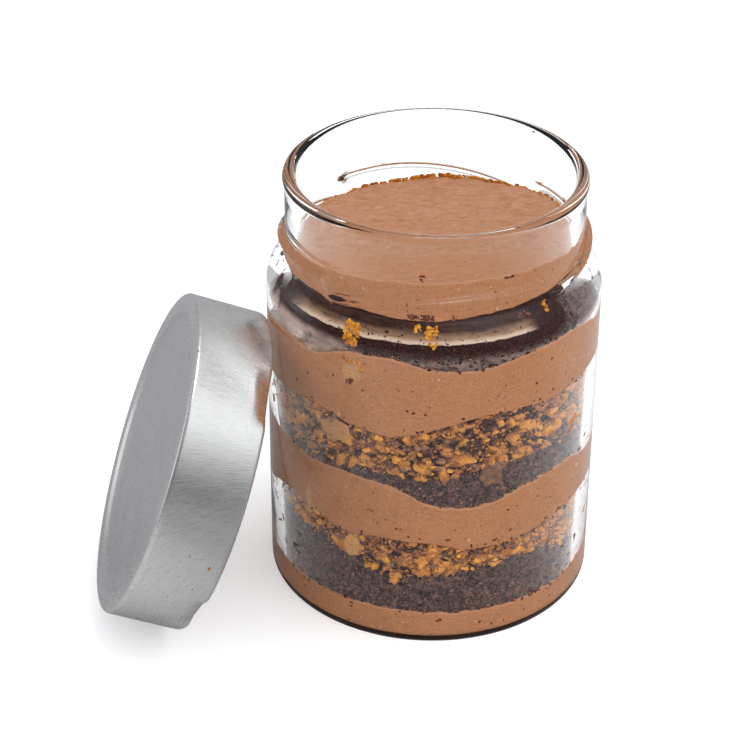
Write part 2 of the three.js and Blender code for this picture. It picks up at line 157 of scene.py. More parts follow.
# Pits in the top of the mousse: x, y and radius in mm
TOP_PITS = (
    (-19.9, 20.4, 0.7), (6.4, 24.2, 0.8), (6.6, 14.8, 0.6), (9.4, 7.4, 1.0), (27.5, 11.2, 0.7),
    (-7.5, 0.5, 0.6), (-14.0, 12.7, 0.5), (-20.7, 8.2, 0.5), (18.7, 14.2, 0.5), (1.1, 3.0, 0.9),
)
# Crumbs caught on the cap: turn about its axis, height above its open edge and size in mm
CAP_SPECKS = (
    (-2.8, 3.2, 1.1), (0.1, 8.0, 0.5), (0.0, 5.3, 0.5), (1.6, 6.6, 0.4), (-9.2, 8.6, 0.4),
    (-13.6, 4.6, 0.5), (-20.3, 8.7, 0.6), (21.9, 6.1, 0.4), (11.1, 5.9, 0.4), (8.4, 4.3, 0.3),
    (-7.0, 6.0, 0.4), (-11.0, 6.8, 0.3), (70.7, 16.6, 0.6),
)

CAP_HEIGHT = 17.0 * MM
CAP_WALL = 0.7 * MM
CAP_EDGE_ROUNDING = 0.9 * MM
CAP_RING_WIDTH = 3.8 * MM
CAP_PANEL_DEPTH = 0.8 * MM
CAP_PANEL = CAP_HEIGHT - CAP_PANEL_DEPTH  # height of the sunk panel over the open edge
CAP_STEP_WIDTH = 2.0 * MM
CURL_RADIUS = 0.85 * MM
CURL_END = 2.4 * CURL_RADIUS  # height at which the inside of the cap's side begins
CAP_LUG_COUNT = 4
CAP_LUG_FIRST = 60
CAP_LUG_SPAN = 22
CAP_LUG_DEPTH = 1.7 * MM
CAP_TURN = 188.1  # direction of the cap's axis, from +X
CAP_TILT = 20.7  # rise of the cap's axis
CAP_PLACE_TURN = -157.9  # direction from the jar's axis to the cap, from +X
CAP_PLACE_DISTANCE = 50.45 * MM

CAMERA_PLACE = (0.0, -0.41767, 0.29831)
CAMERA_DOWN = 30.964
CAMERA_TURN = 1.7515
CAMERA_ROLL = 0.2964
CAMERA_LENS = 103.9  # on a sensor 36 mm wide

BLACK = (0.0, 0.0, 0.0)
WHITE = (1.0, 1.0, 1.0)


# ------------------------------------------------------------------ settings


class CakeJarSettings(bpy.types.PropertyGroup):
    """Sizes and colours of the dessert that a user may change."""

    body_radius: FloatProperty(
        name="Body Radius", description="Outer radius of the jar's straight body",
        default=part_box("jar_glass")[1].x, unit="LENGTH",
    )
    jar_height: FloatProperty(
        name="Jar Height", description="Height of the jar's rim above the surface it stands on",
        default=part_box("jar_glass")[1].z, unit="LENGTH",
    )
    cap_radius: FloatProperty(
        name="Cap Radius", description="Outer radius of the twist cap",
        default=36.2 * MM * math.cos(math.pi / CAD_SIDES), unit="LENGTH",
    )
    cake_relief: FloatProperty(
        name="Cake Relief", description="Depth of the hollows between the cake and the glass",
        default=0.9 * MM, unit="LENGTH",
    )
    flakes: IntProperty(
        name="Biscuit Flakes", description="How many flakes of biscuit a crunch layer shows",
        default=1100, min=0,
    )
    grit: IntProperty(
        name="Biscuit Grit", description="How many fine biscuit crumbs a crunch layer shows",
        default=2400, min=0,
    )
    granules: IntProperty(
        name="Granules", description="How many brown granules a crunch layer shows",
        default=1000, min=0,
    )
    glass_colour: FloatVectorProperty(
        name="Glass", description="Tint of the glass", subtype="COLOR",
        default=(0.975, 0.988, 0.982), min=0.0, max=1.0,
    )
    mousse_colour: FloatVectorProperty(
        name="Mousse", description="Colour of the chocolate mousse", subtype="COLOR",
        default=(0.58, 0.245, 0.111), min=0.0, max=1.0,
    )
    cake_colour: FloatVectorProperty(
        name="Cake", description="Colour of the dark chocolate cake", subtype="COLOR",
        default=(0.135, 0.078, 0.070), min=0.0, max=1.0,
    )
    biscuit_colour: FloatVectorProperty(
        name="Biscuit", description="Colour of the golden biscuit", subtype="COLOR",
        default=(0.95, 0.40, 0.07), min=0.0, max=1.0,
    )
    tinplate_colour: FloatVectorProperty(
        name="Tinplate", description="Colour of the cap's bare metal", subtype="COLOR",
        default=(0.97, 0.97, 0.96), min=0.0, max=1.0,
    )
    key_light: FloatProperty(
        name="Key Light", description="Brightness of the large soft light on the right",
        default=2.6, min=0.0,
    )


def settings():
    return bpy.context.scene.cake_jar


# ------------------------------------------------------------------ shape helpers


def smoothstep(value, start, end):
    share = np.clip((value - start) / (end - start), 0.0, 1.0)
    return share * share * (3 - 2 * share)


def between(value, rise, fall):
    """1 between two smooth steps, each given by its start and end."""
    return smoothstep(value, *rise) * (1 - smoothstep(value, *fall))


def wall_radius(height):
    """Radius of the jar's inner wall at a height."""
    in_neck = smoothstep(height, INNER_SHOULDER_START, INNER_SHOULDER_END)
    body = settings().body_radius - BODY_WALL
    radius = body + (NECK_INNER_RADIUS - body) * in_neck
    rise = np.clip(height - FLOOR_THICKNESS, 0.0, INNER_HEEL_ROUNDING)
    run = np.sqrt(INNER_HEEL_ROUNDING**2 - (INNER_HEEL_ROUNDING - rise) ** 2)
    return radius - INNER_HEEL_ROUNDING + run


def arc(radius, height, size, start, end, steps):
    """Points of a round corner of a profile."""
    turns = np.radians(np.linspace(start, end, steps + 1))
    return [(radius + size * math.cos(t), height + size * math.sin(t)) for t in turns]


def select_only(piece):
    bpy.ops.object.select_all(action="DESELECT")
    piece.select_set(True)
    bpy.context.view_layer.objects.active = piece


def azimuth_of(points):
    """Azimuth of each point about the vertical axis, in degrees."""
    return np.degrees(np.arctan2(points[:, 0], -points[:, 1]))


def radius_of(points):
    return np.hypot(points[:, 0], points[:, 1])


def place_round(azimuth, radius, height):
    """Points about the vertical axis, as rows of x, y and z."""
    turn = np.radians(azimuth)
    return np.column_stack([radius * np.sin(turn), -radius * np.cos(turn), height + 0 * turn])


def bend_weights(t):
    """Weights of the three points of a bend."""
    return (1 - t) ** 2, 2 * t * (1 - t), t**2


def corners(piece):
    """Every corner of a piece's mesh as an array of x, y, z."""
    flat = np.empty(len(piece.data.vertices) * 3)
    piece.data.vertices.foreach_get("co", flat)
    return flat.reshape(-1, 3)


def move_corners(piece, points):
    piece.data.vertices.foreach_set("co", np.asarray(points, dtype=float).ravel())
    piece.data.update()


def new_piece(name, points, edges=(), faces=()):
    mesh = bpy.data.meshes.new(name)
    mesh.from_pydata([tuple(point) for point in points], list(edges), list(faces))
    piece = bpy.data.objects.new(name, mesh)
    bpy.context.collection.objects.link(piece)
    select_only(piece)
    return piece


def spin(name, profile, steps):
    """Spins a profile of (radius, height) points, from axis to axis, into a closed mesh."""
    points = [(radius, 0.0, height) for radius, height in profile]
    piece = new_piece(name, points, [(i, i + 1) for i in range(len(points) - 1)])
    screw = piece.modifiers.new("Spin", "SCREW")
    screw.angle = math.tau
    screw.steps = screw.render_steps = steps
    screw.use_merge_vertices = True
    screw.merge_threshold = 1e-6
    bpy.ops.object.modifier_apply(modifier=screw.name)
    bpy.ops.object.mode_set(mode="EDIT")
    bpy.ops.mesh.select_all(action="SELECT")
    bpy.ops.mesh.normals_make_consistent(inside=False)
    bpy.ops.object.mode_set(mode="OBJECT")
    return piece


def finish(piece, material, slot, *nodes, sharp_angle=None):
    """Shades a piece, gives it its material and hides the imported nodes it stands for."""
    select_only(piece)
    if sharp_angle is None:
        bpy.ops.object.shade_smooth()
    else:
        bpy.ops.object.shade_smooth_by_angle(angle=math.radians(sharp_angle))
    piece.data.materials.clear()
    piece.data.materials.append(material)
    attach(piece, "root")
    if nodes:
        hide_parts(*nodes)


def rough(points, size, seed):
    """Smooth gradient noise, from about -1 to 1, with bumps of this size in metres."""
    place = np.asarray(points) / size + 40.5
    cell = np.floor(place)
    inside = place - cell
    fade = inside**3 * (inside * (inside * 6 - 15) + 10)
    total = np.zeros(len(place))
    for corner in product((0, 1), repeat=3):
        key = (cell + corner) @ (127.1, 311.7, 74.7) + 19.19 * seed
        slope = np.stack([np.sin(key + turn) * 43758.5453 % 1 for turn in (0, 1, 2)], axis=1)
        weight = np.where(corner, fade, 1 - fade).prod(axis=1)
        total += weight * ((slope * 2 - 1) * (inside - corner)).sum(axis=1)
    return total * 1.9


def set_attribute(piece, name, values):
    made = piece.data.attributes.new(name, "FLOAT", "POINT")
    made.data.foreach_set("value", np.asarray(values, dtype=float))


# ------------------------------------------------------------------ borders between layers


def packed_ring(node, highest):
    """Heights of a packed layer's upper or lower edge at each of its sides."""
    points = corners(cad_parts[node])
    radius = radius_of(points)
    side = azimuth_of(points) % 360 * CAD_SIDES / 360
    nearest = np.round(side)
    at_glass = radius > wall_radius(points[:, 2]) - CAD_SIDE_DEPTH
    usable = at_glass & (np.abs(side - nearest) < 0.05)
    heights = []
    for number in range(CAD_SIDES):
        column = points[usable & (nearest % CAD_SIDES == number), 2]
        heights.append(column.max() + CAD_GAP / 2 if highest else column.min() - CAD_GAP / 2)
    return np.array(heights)


class Border:
    """The border between two layers: its height at the glass and anywhere inside."""

    def __init__(self, node, highest, seed, unevenness):
        self.ring = packed_ring(node, highest)
        self.seed = seed
        self.unevenness = unevenness

    def packed(self, azimuth):
        """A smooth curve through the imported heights."""
        place = np.asarray(azimuth) % 360 / 360 * CAD_SIDES
        low = np.floor(place).astype(int)
        t = place - low
        a, b, c, d = (self.ring[(low + k) % CAD_SIDES] for k in (-1, 0, 1, 2))
        bend = (2 * a - 5 * b + 4 * c - d) * t**2 + (3 * b - 3 * c + d - a) * t**3
        return b + 0.5 * ((c - a) * t + bend)

    def at_glass(self, azimuth):
        ring = place_round(azimuth, settings().body_radius, 0.0)
        uneven = 0.55 * rough(ring, 5 * MM, self.seed)
        uneven += 0.30 * rough(ring, 2 * MM, self.seed + 1)
        uneven += 0.15 * rough(ring, 0.9 * MM, self.seed + 2)
        return self.packed(azimuth) + self.unevenness * uneven

    def inside(self, azimuth, share):
        middle = self.ring.mean()
        return middle + (self.at_glass(azimuth) - middle) * share**2


class Floor:
    """The jar's floor, which the lowest mousse wets."""

    def inside(self, azimuth, share):
        return np.full(len(azimuth), FLOOR_THICKNESS - GLASS_CONTACT)


class TopOfMousse(Border):
    """The open top of the mousse: a plane that slopes to the back, worked with a spatula."""

    def inside(self, azimuth, share):
        sides = np.arange(CAD_SIDES) * 360 / CAD_SIDES
        plane = place_round(sides, NECK_INNER_RADIUS, 1.0)
        slope, *_ = np.linalg.lstsq(plane, self.ring - CAD_GAP, rcond=None)
        flat = place_round(azimuth, share * NECK_INNER_RADIUS, 0.0)
        x, y = flat[:, 0], flat[:, 1]
        strokes = rough(flat * (0.3, 1.0, 1.0), 3.0 * MM, self.seed)
        ripples = rough(flat * (0.45, 1.0, 1.0), 1.2 * MM, self.seed + 1)
        height = slope[0] * x + slope[1] * y + slope[2]
        height += self.unevenness * (0.5 * strokes + 0.5 * ripples)
        for pit_x, pit_y, size in TOP_PITS:
            away = np.hypot(x - pit_x * MM, (y - pit_y * MM) * 1.5) / (size * MM)
            height -= 0.8 * MM * size * np.exp(-(away**2) * 1.6)
        return height


# ------------------------------------------------------------------ material helpers


def material(name):
    made = bpy.data.materials.new(name)
    made.use_nodes = True
    return made, made.node_tree, made.node_tree.nodes["Principled BSDF"]


def is_socket(value):
    return isinstance(value, bpy.types.NodeSocket)


def connect(tree, node, inputs):
    """Gives each named input of a node its value, or links it to a socket."""
    for key, value in inputs.items():
        if is_socket(value):
            tree.links.new(value, node.inputs[key])
        else:
            node.inputs[key].default_value = value


def put(tree, kind, inputs, **values):
    """Adds a node with its inputs and its other values."""
    made = tree.nodes.new(kind)
    for key, value in values.items():
        setattr(made, key, value)
    connect(tree, made, inputs)
    return made


def calculate(tree, operation, *numbers):
    """Result of a Math node; each number may be a socket."""
    made = put(tree, "ShaderNodeMath", dict(enumerate(numbers)), operation=operation)
    return made.outputs[0]


def contrast(tree, value, low, high, start=0.0, end=1.0):
    """Stretches a mask between two levels, to run from start to end."""
    return put(tree, "ShaderNodeMapRange", {
        "Value": value, "From Min": low, "From Max": high, "To Min": start, "To Max": end,
    }).outputs["Result"]


def object_place(tree):
    return put(tree, "ShaderNodeTexCoord", {}).outputs["Object"]


def light_path(tree):
    return put(tree, "ShaderNodeLightPath", {}).outputs


def attribute(tree, name):
    return put(tree, "ShaderNodeAttribute", {}, attribute_name=name).outputs["Fac"]


def noise(tree, place, scale, detail, roughness=0.5, dimensions="3D"):
    """Noise of one scale, or drawn out, where its scale is a number for each axis."""
    if isinstance(scale, tuple):
        place = put(tree, "ShaderNodeMapping", {"Vector": place, "Scale": scale}).outputs[0]
        scale = 1.0
    return put(tree, "ShaderNodeTexNoise", {
        "Vector": place, "Scale": scale, "Detail": detail, "Roughness": roughness,
    }, noise_dimensions=dimensions).outputs["Fac"]


def bump(tree, height, strength, distance):
    return put(tree, "ShaderNodeBump", {
        "Height": height, "Strength": strength, "Distance": distance,
    }).outputs["Normal"]


def mix(tree, factor, first, second):
    """Colour socket of a Mix node; a colour may be three numbers or a socket."""
    first, second = (
        colour if is_socket(colour) else (*colour, 1.0) for colour in (first, second)
    )
    return put(tree, "ShaderNodeMix", {0: factor, 6: first, 7: second}, data_type="RGBA").outputs[2]


def tinted(tree, base, tints):
    """Lays colours over a base. Each tint is a mask, its strength and a colour."""
    for mask, strength, colour in tints:
        if strength < 1:
            mask = calculate(tree, "MULTIPLY", mask, strength)
        base = mix(tree, mask, base, colour)
    return base


def scaled_colour(colour, share):
    return tuple(min(1.0, channel * share) for channel in colour)


def grain_group():
    """Node group: grain of a crumbly or whipped food, at three sizes."""
    name = "Food Grain"
    if name in bpy.data.node_groups:
        return bpy.data.node_groups[name]
    tree = bpy.data.node_groups.new(name, "ShaderNodeTree")
    size = tree.interface.new_socket("Size", in_out="INPUT", socket_type="NodeSocketFloat")
    size.default_value = 1.0
    for output in ("Coarse", "Fine", "Specks"):
        tree.interface.new_socket(output, in_out="OUTPUT", socket_type="NodeSocketFloat")
    size = put(tree, "NodeGroupInput", {}).outputs["Size"]
    place = object_place(tree)
    scale = calculate(tree, "DIVIDE", 1 / MM, size)
    finer = calculate(tree, "MULTIPLY", scale, 4.0)
    cells = put(tree, "ShaderNodeTexVoronoi", {"Vector": place, "Scale": scale})
    put(tree, "NodeGroupOutput", {
        "Coarse": noise(tree, place, scale, 3.0, 0.6),
        "Fine": noise(tree, place, finer, 2.0, 0.7),
        "Specks": contrast(tree, cells.outputs["Distance"], 0.22, 0.12),
    })
    return tree


def grain(tree, size):
    """Places the grain group with its size in millimetres."""
    return put(tree, "ShaderNodeGroup", {"Size": size}, node_tree=grain_group()).outputs


# ------------------------------------------------------------------ materials


def glass_material():
    made, tree, shader = material("clear_glass")
    waves = noise(tree, object_place(tree), 90.0, 1.0)
    connect(tree, shader, {
        "Base Color": (*settings().glass_colour, 1.0), "Roughness": 0.0, "IOR": 1.5,
        "Transmission Weight": 1.0, "Normal": bump(tree, waves, 0.12, 0.4 * MM),
    })
    rays = light_path(tree)
    passes = calculate(tree, "MAXIMUM", rays["Is Shadow Ray"], rays["Is Diffuse Ray"])
    clear = put(tree, "ShaderNodeBsdfTransparent", {"Color": (0.97, 0.98, 0.975, 1.0)})
    both = put(tree, "ShaderNodeMixShader", {
        0: passes, 1: shader.outputs["BSDF"], 2: clear.outputs["BSDF"],
    })
    connect(tree, tree.nodes["Material Output"], {"Surface": both.outputs["Shader"]})
    return made


def mousse_material():
    made, tree, shader = material("chocolate_mousse")
    colour = settings().mousse_colour
    place = object_place(tree)
    strokes = noise(tree, place, (320.0, 1100.0, 1300.0), 4.0, 0.65)
    ruffles = noise(tree, place, (420.0, 800.0, 800.0), 5.0, 0.7)
    clouds, specks, finer, pores, bubbles = (
        grain(tree, size) for size in (9.0, 0.9, 0.5, 1.6, 2.3)
    )
    pits, airy = (
        calculate(tree, "MULTIPLY", cells["Specks"], contrast(tree, cells["Coarse"], *levels))
        for cells, levels in ((pores, (0.5, 0.6)), (bubbles, (0.56, 0.64)))
    )
    open_top = attribute(tree, "open_top")
    # Painted shade: the hollows of the ruffles on the open top are darker
    painted_hollow_shade = calculate(tree, "MULTIPLY", contrast(tree, ruffles, 0.60, 0.34), open_top)
    base = mix(
        tree, contrast(tree, clouds["Coarse"], 0.3, 0.7),
        scaled_colour(colour, 0.94), scaled_colour(colour, 1.06),
    )
    base = tinted(tree, base, (
        (contrast(tree, strokes, 0.56, 0.38), 0.5, scaled_colour(colour, 0.7)),
        (contrast(tree, specks["Fine"], 0.58, 0.40), 1, scaled_colour(colour, 0.72)),
        (contrast(tree, finer["Coarse"], 0.56, 0.68), 0.5, (0.64, 0.32, 0.18)),
        (contrast(tree, pores["Fine"], 0.66, 0.74), 1, (0.16, 0.06, 0.035)),
        (pits, 1, (0.22, 0.095, 0.06)),
        (airy, 1, (0.60, 0.38, 0.27)),
        # painted highlight along the upper edge of a side
        (attribute(tree, "lip_highlight"), 0.4, (0.80, 0.42, 0.26)),
        # painted sheen on the open top, fading out towards the front
        (open_top, 0.22, (0.66, 0.46, 0.35)),
        (painted_hollow_shade, 1, scaled_colour(colour, 0.72)),
    ))
    relief = calculate(tree, "MULTIPLY_ADD", strokes, 1.6, specks["Fine"])
    connect(tree, shader, {
        "Base Color": base, "Roughness": 0.6, "Specular IOR Level": 0.15,
        "Normal": bump(tree, relief, 0.8, 0.26 * MM),
    })
    return made


def film_and_reflection_colour(tree, base):
    """Melted mousse round the shoulder, partly painted reflection: a narrow band, brightest
    along its lower edge with a painted highlight, and faint streaks of painted reflection above."""
    place = object_place(tree)
    streaks = noise(tree, place, (150.0, 150.0, 1500.0), 4.0, 0.6)
    veil = contrast(tree, streaks, 0.46, 0.64)
    patchy = contrast(tree, streaks, 0.26, 0.46)
    wander = calculate(tree, "SUBTRACT", noise(tree, place, 420.0, 4.0), 0.5)
    above = calculate(tree, "MULTIPLY_ADD", wander, 0.7, attribute(tree, "above_film_and_reflection"))
    shown = attribute(tree, "film_and_reflection")
    # Dark streaks of painted reflection, the band of mousse that is partly a painted reflection,
    # and a painted highlight
    for low, full, fading, gone, colour, strength, texture in (
        (0.60, 1.40, 2.40, 5.00, (0.13, 0.060, 0.034), 0.5, veil),
        (0.00, 0.14, 0.70, 2.30, (0.45, 0.26, 0.160), 0.95, patchy),
        (0.02, 0.12, 0.35, 0.90, (0.74, 0.57, 0.45), 0.8, patchy),
    ):
        mask = contrast(tree, above, low, full, end=strength)
        for part in (contrast(tree, above, gone, fading), texture, shown):
            mask = calculate(tree, "MULTIPLY", mask, part)
        base = mix(tree, mask, base, colour)
    return base


def cake_material():
    made, tree, shader = material("dark_chocolate_cake")
    colour = settings().cake_colour
    crumbs = grain(tree, 1.1)
    patches = grain(tree, 4.0)
    fine = crumbs["Fine"]
    moist = mix(
        tree, contrast(tree, fine, 0.44, 0.66), (0.004, 0.0015, 0.0015), (0.085, 0.019, 0.012),
    )
    broken = contrast(tree, patches["Coarse"], 0.28, 0.48)
    smeared = calculate(tree, "MULTIPLY", attribute(tree, "smear"), broken)
    base = mix(
        tree, contrast(tree, crumbs["Coarse"], 0.44, 0.58), scaled_colour(colour, 0.16), colour,
    )
    base = tinted(tree, base, (
        (contrast(tree, fine, 0.50, 0.64), 1, (0.25, 0.125, 0.10)),
        (contrast(tree, patches["Fine"], 0.66, 0.73), 1, (0.46, 0.29, 0.20)),
        (attribute(tree, "pressed"), 1, moist),
        (smeared, 1, (0.60, 0.41, 0.34)),
    ))
    connect(tree, shader, {
        "Base Color": film_and_reflection_colour(tree, base), "Roughness": 0.75, "Specular IOR Level": 0.12,
        "Normal": bump(tree, fine, 0.7, 0.35 * MM),
    })
    return made


def biscuit_material(name, dark, middle, bright):
    """Crumbs whose tone attribute runs from dark through middle to bright."""
    made, tree, shader = material(name)
    crumbs = grain(tree, 1.0)
    spread = calculate(tree, "SUBTRACT", contrast(tree, crumbs["Coarse"], 0.2, 0.8), 0.5)
    tone = calculate(tree, "MULTIPLY_ADD", spread, 0.45, attribute(tree, "tone"))
    ramp = put(tree, "ShaderNodeValToRGB", {"Fac": tone})
    levels = ramp.color_ramp.elements
    levels[0].color = (*dark, 1.0)
    levels[1].color = (*bright, 1.0)
    levels.new(0.5).color = (*middle, 1.0)
    # Painted shade: small hollows over each crumb are darker
    outside_painted_hollows = contrast(tree, crumbs["Fine"], 0.32, 0.46)
    connect(tree, shader, {
        "Base Color": mix(tree, outside_painted_hollows, scaled_colour(dark, 0.8), ramp.outputs["Color"]),
        "Roughness": 0.7, "Specular IOR Level": 0.2,
        "Normal": bump(tree, crumbs["Fine"], 0.8, 0.3 * MM),
    })
    return made


def tinplate_material():
    made, tree, shader = material("brushed_tinplate")
    colour = settings().tinplate_colour
    sheet = put(tree, "ShaderNodeUVMap", {}, uv_map="rolled_sheet").outputs["UV"]
    along_streaks = put(tree, "ShaderNodeMapping", {
        "Vector": sheet, "Rotation": (0.0, 0.0, math.radians(48)), "Scale": (3.6, 0.28, 1.0),
    }, vector_type="TEXTURE").outputs["Vector"]
    streaks = noise(tree, along_streaks, 1.0, 4.0, 0.6, "2D")
    marks = contrast(tree, streaks, 0.3, 0.7)
    cloud = noise(tree, sheet, (0.08, 0.16, 1.0), 3.0, dimensions="2D")
    off_middle = put(tree, "ShaderNodeVectorMath", {0: sheet}, operation="LENGTH")
    panel = contrast(tree, off_middle.outputs["Value"], 32.3, 31.6)
    inside = attribute(tree, "lacquered")
    base = mix(tree, marks, scaled_colour(colour, 0.84), colour)
    base = tinted(tree, base, (
        (panel, 1, scaled_colour(colour, 0.85)),
        (inside, 1, (0.74, 0.73, 0.70)),
    ))
    # Painted light: the lacquered inside glows faintly where it is seen mirrored in the glass
    glow = calculate(tree, "MULTIPLY", inside, mirrored_inside(tree))
    dull = contrast(tree, cloud, 0.3, 0.7, 0.20, 0.28)
    connect(tree, shader, {
        "Base Color": base, "Metallic": calculate(tree, "SUBTRACT", 1.0, inside),
        "Roughness": calculate(tree, "MULTIPLY_ADD", marks, 0.08, dull),
        "Emission Color": mix(tree, glow, BLACK, (0.20, 0.205, 0.215)),
        "Emission Strength": 1.0, "Normal": bump(tree, streaks, 0.5, 0.05 * MM),
    })
    return made


def mirrored(tree):
    """1 for what the glass and the metal mirror, 0 for everything else."""
    rays = light_path(tree)
    return calculate(tree, "MULTIPLY", rays["Is Glossy Ray"], rays["Is Reflection Ray"])


def mirrored_inside(tree):
    """1 also for what the inner face of the glass mirrors, which leaves through its wall."""
    rays = light_path(tree)
    once = calculate(tree, "MINIMUM", rays["Glossy Depth"], 1.0)
    return calculate(tree, "MULTIPLY", rays["Is Glossy Ray"], once)


def stage_material():
    """A white floor. Its image in glass and metal is dimmer, and darkest before the jar."""
    made, tree, shader = material("pale_floor")
    rays = light_path(tree)
    side = put(tree, "ShaderNodeSeparateXYZ", {"Vector": object_place(tree)}).outputs
    near = contrast(tree, side["Y"], 0.0, -60 * MM)
    right = contrast(tree, side["X"], -60 * MM, -20 * MM)
    past_jar = contrast(tree, side["X"], 20 * MM, 60 * MM)
    in_metal = mix(tree, right, (0.46, 0.455, 0.45), (0.25, 0.25, 0.255))
    in_metal = mix(tree, near, (0.31, 0.31, 0.32), in_metal)
    in_glass = mix(
        tree, near, mix(tree, past_jar, (0.36, 0.365, 0.38), (0.58, 0.58, 0.59)),
        mix(tree, right, (0.36, 0.365, 0.38), (0.14, 0.14, 0.145)),
    )
    image = mix(tree, rays["Is Singular Ray"], in_metal, in_glass)
    towards = calculate(tree, "MULTIPLY", side["Y"], -1.0)
    azimuth = calculate(tree, "ARCTAN2", side["X"], towards)
    in_front = contrast(
        tree, calculate(tree, "ABSOLUTE", azimuth), math.radians(76), math.radians(36),
    )
    dimmed = calculate(tree, "MULTIPLY", in_front, mirrored_inside(tree))
    base = mix(tree, dimmed, (0.92, 0.92, 0.92), (0.42, 0.43, 0.45))
    unlit = calculate(tree, "MAXIMUM", rays["Is Reflection Ray"], dimmed)
    connect(tree, shader, {
        "Base Color": mix(tree, mirrored(tree), base, image),
        "Emission Color": mix(tree, unlit, WHITE, BLACK), "Emission Strength": 0.3,
        "Roughness": 1.0, "Specular IOR Level": 0.0,
    })
    return made


# ------------------------------------------------------------------ jar glass


def jar_profile():
    jar = settings()
    shoulder = []
    for t in np.linspace(0, 1, 22):
        start, bend, end = bend_weights(t)
        radius = (start + bend) * jar.body_radius + end * NECK_FOOT_RADIUS
        height = start * SHOULDER_START + bend * SHOULDER_BEND + end * NECK_FOOT
        shoulder.append((radius, height))
    neck_foot = []
    for t in np.linspace(0.08, 1, 14):
        start, bend, end = bend_weights(t)
        radius = start * NECK_FOOT_RADIUS + (bend + end) * NECK_RADIUS
        height = NECK_FOOT + NECK_FOOT_BEND * bend + NECK_FOOT_END * end
        neck_foot.append((radius, height))
    rim_height = jar.jar_height - RIM_ROUNDING
    ridges_start = NECK_FOOT + NECK_FOOT_END + 0.1 * MM
    ridges_end = LUG_START_HEIGHT + LUG_RISE + LUG_HALF_ABOVE
    neck_end = rim_height - RIM_FLARE
    inner = [
        (float(wall_radius(height)), height)
        for height in np.linspace(INNER_SHOULDER_END, INNER_SHOULDER_START, 22)
    ]
    for turn in np.linspace(0, math.pi / 2, 9):
        height = FLOOR_THICKNESS + INNER_HEEL_ROUNDING * (1 - math.sin(turn))
        inner.append((float(wall_radius(height)), height))
    heel_radius = jar.body_radius - HEEL_ROUNDING
    return [
        (0.0, 0.0),
        *arc(heel_radius, HEEL_ROUNDING, HEEL_ROUNDING, -90, 0, 10),
        *shoulder,
        *neck_foot,
        *[(NECK_RADIUS, height) for height in np.linspace(ridges_start, ridges_end, 60)],
        *[(NECK_RADIUS, height) for height in np.linspace(ridges_end, neck_end, 12)[1:]],
        *arc(NECK_INNER_RADIUS + RIM_ROUNDING, rim_height, RIM_ROUNDING, 0, 180, 18),
        *inner,
        (0.0, FLOOR_THICKNESS),
    ]


def neck_with_lugs(points):
    """Raises the slanted ridges round the neck: each starts low on the left, climbs and
    then runs level. Its slope is steeper above than below."""
    radius = radius_of(points)
    azimuth = azimuth_of(points)
    height = points[:, 2]
    proud = np.zeros(len(points))
    for number in range(LUG_COUNT):
        first = LUG_FIRST_AZIMUTH + 360 * number / LUG_COUNT
        along = ((azimuth - first + 20) % 360 - 20) / LUG_SPAN
        ends = between(along, LUG_RUN_IN, LUG_RUN_OUT)
        climb = np.sin(math.pi / 2 * np.clip(along / LUG_CLIMB, 0, 1))
        off = height - LUG_START_HEIGHT - LUG_RISE * climb
        half = np.where(off > 0, LUG_HALF_ABOVE, LUG_HALF_BELOW)
        section = np.clip(1 - (off / half) ** 2, 0, 1) ** 1.4
        proud = np.maximum(proud, LUG_PROUD * ends * section)
    outside = radius > (NECK_RADIUS + NECK_INNER_RADIUS) / 2
    ridge = np.where(outside & (proud > 0), NECK_RADIUS + proud, 0)
    share = np.maximum(radius, ridge) / np.maximum(radius, MM)
    return points * np.column_stack([share, share, np.ones(len(points))])


class CAKEJAR_OT_glass(bpy.types.Operator):
    """Spin the jar and raise its slanted neck ridges"""

    bl_idname = "cakejar.glass"
    bl_label = "Glass Jar"

    def execute(self, context):
        jar = spin("glass_jar", jar_profile(), GLASS_STEPS)
        move_corners(jar, neck_with_lugs(corners(jar)))
        finish(jar, glass_material(), "glass", "jar_glass", sharp_angle=45)
        return {"FINISHED"}


# ------------------------------------------------------------------ layers


def layer(name, foot, top, reach, rows, top_rings=FLAT_RINGS):
    """A layer that fills the jar between two borders. reach(points) gives how far each
    corner of its side lies beyond the inner wall."""
    low_rings = np.linspace(0, 1, FLAT_RINGS + 1)[:-1]
    high_rings = np.linspace(1, 0, top_rings + 1)[1:]
    profile = [(share, 0.0) for share in low_rings]
    profile += [(1.0, lift) for lift in np.linspace(0, 1, rows + 1)]
    profile += [(share, 1.0) for share in high_rings]
    piece = spin(name, profile, COLUMNS)
    unit = corners(piece)
    share = np.minimum(radius_of(unit), 1.0)
    azimuth = azimuth_of(unit)
    low = foot.inside(azimuth, share)
    high = top.inside(azimuth, share)
    height = low + (high - low) * unit[:, 2]
    radius = share * wall_radius(height)
    side = share > 0.999
    radius[side] += reach(place_round(azimuth, radius, height)[side])
    points = place_round(azimuth, radius, height)
    move_corners(piece, points)
    # Painted highlight: a lighter band at the top of each side
    set_attribute(piece, "lip_highlight", np.clip(1 - (high - height) / LIP_HIGHLIGHT_HEIGHT, 0, 1) * side)
    # Painted sheen: the open top of the mousse is paler, fading out towards the front
    exposed = (unit[:, 2] > 0.999) * (share < 0.995)
    set_attribute(piece, "open_top", exposed * smoothstep(points[:, 1], -20 * MM, -8 * MM))
    return piece


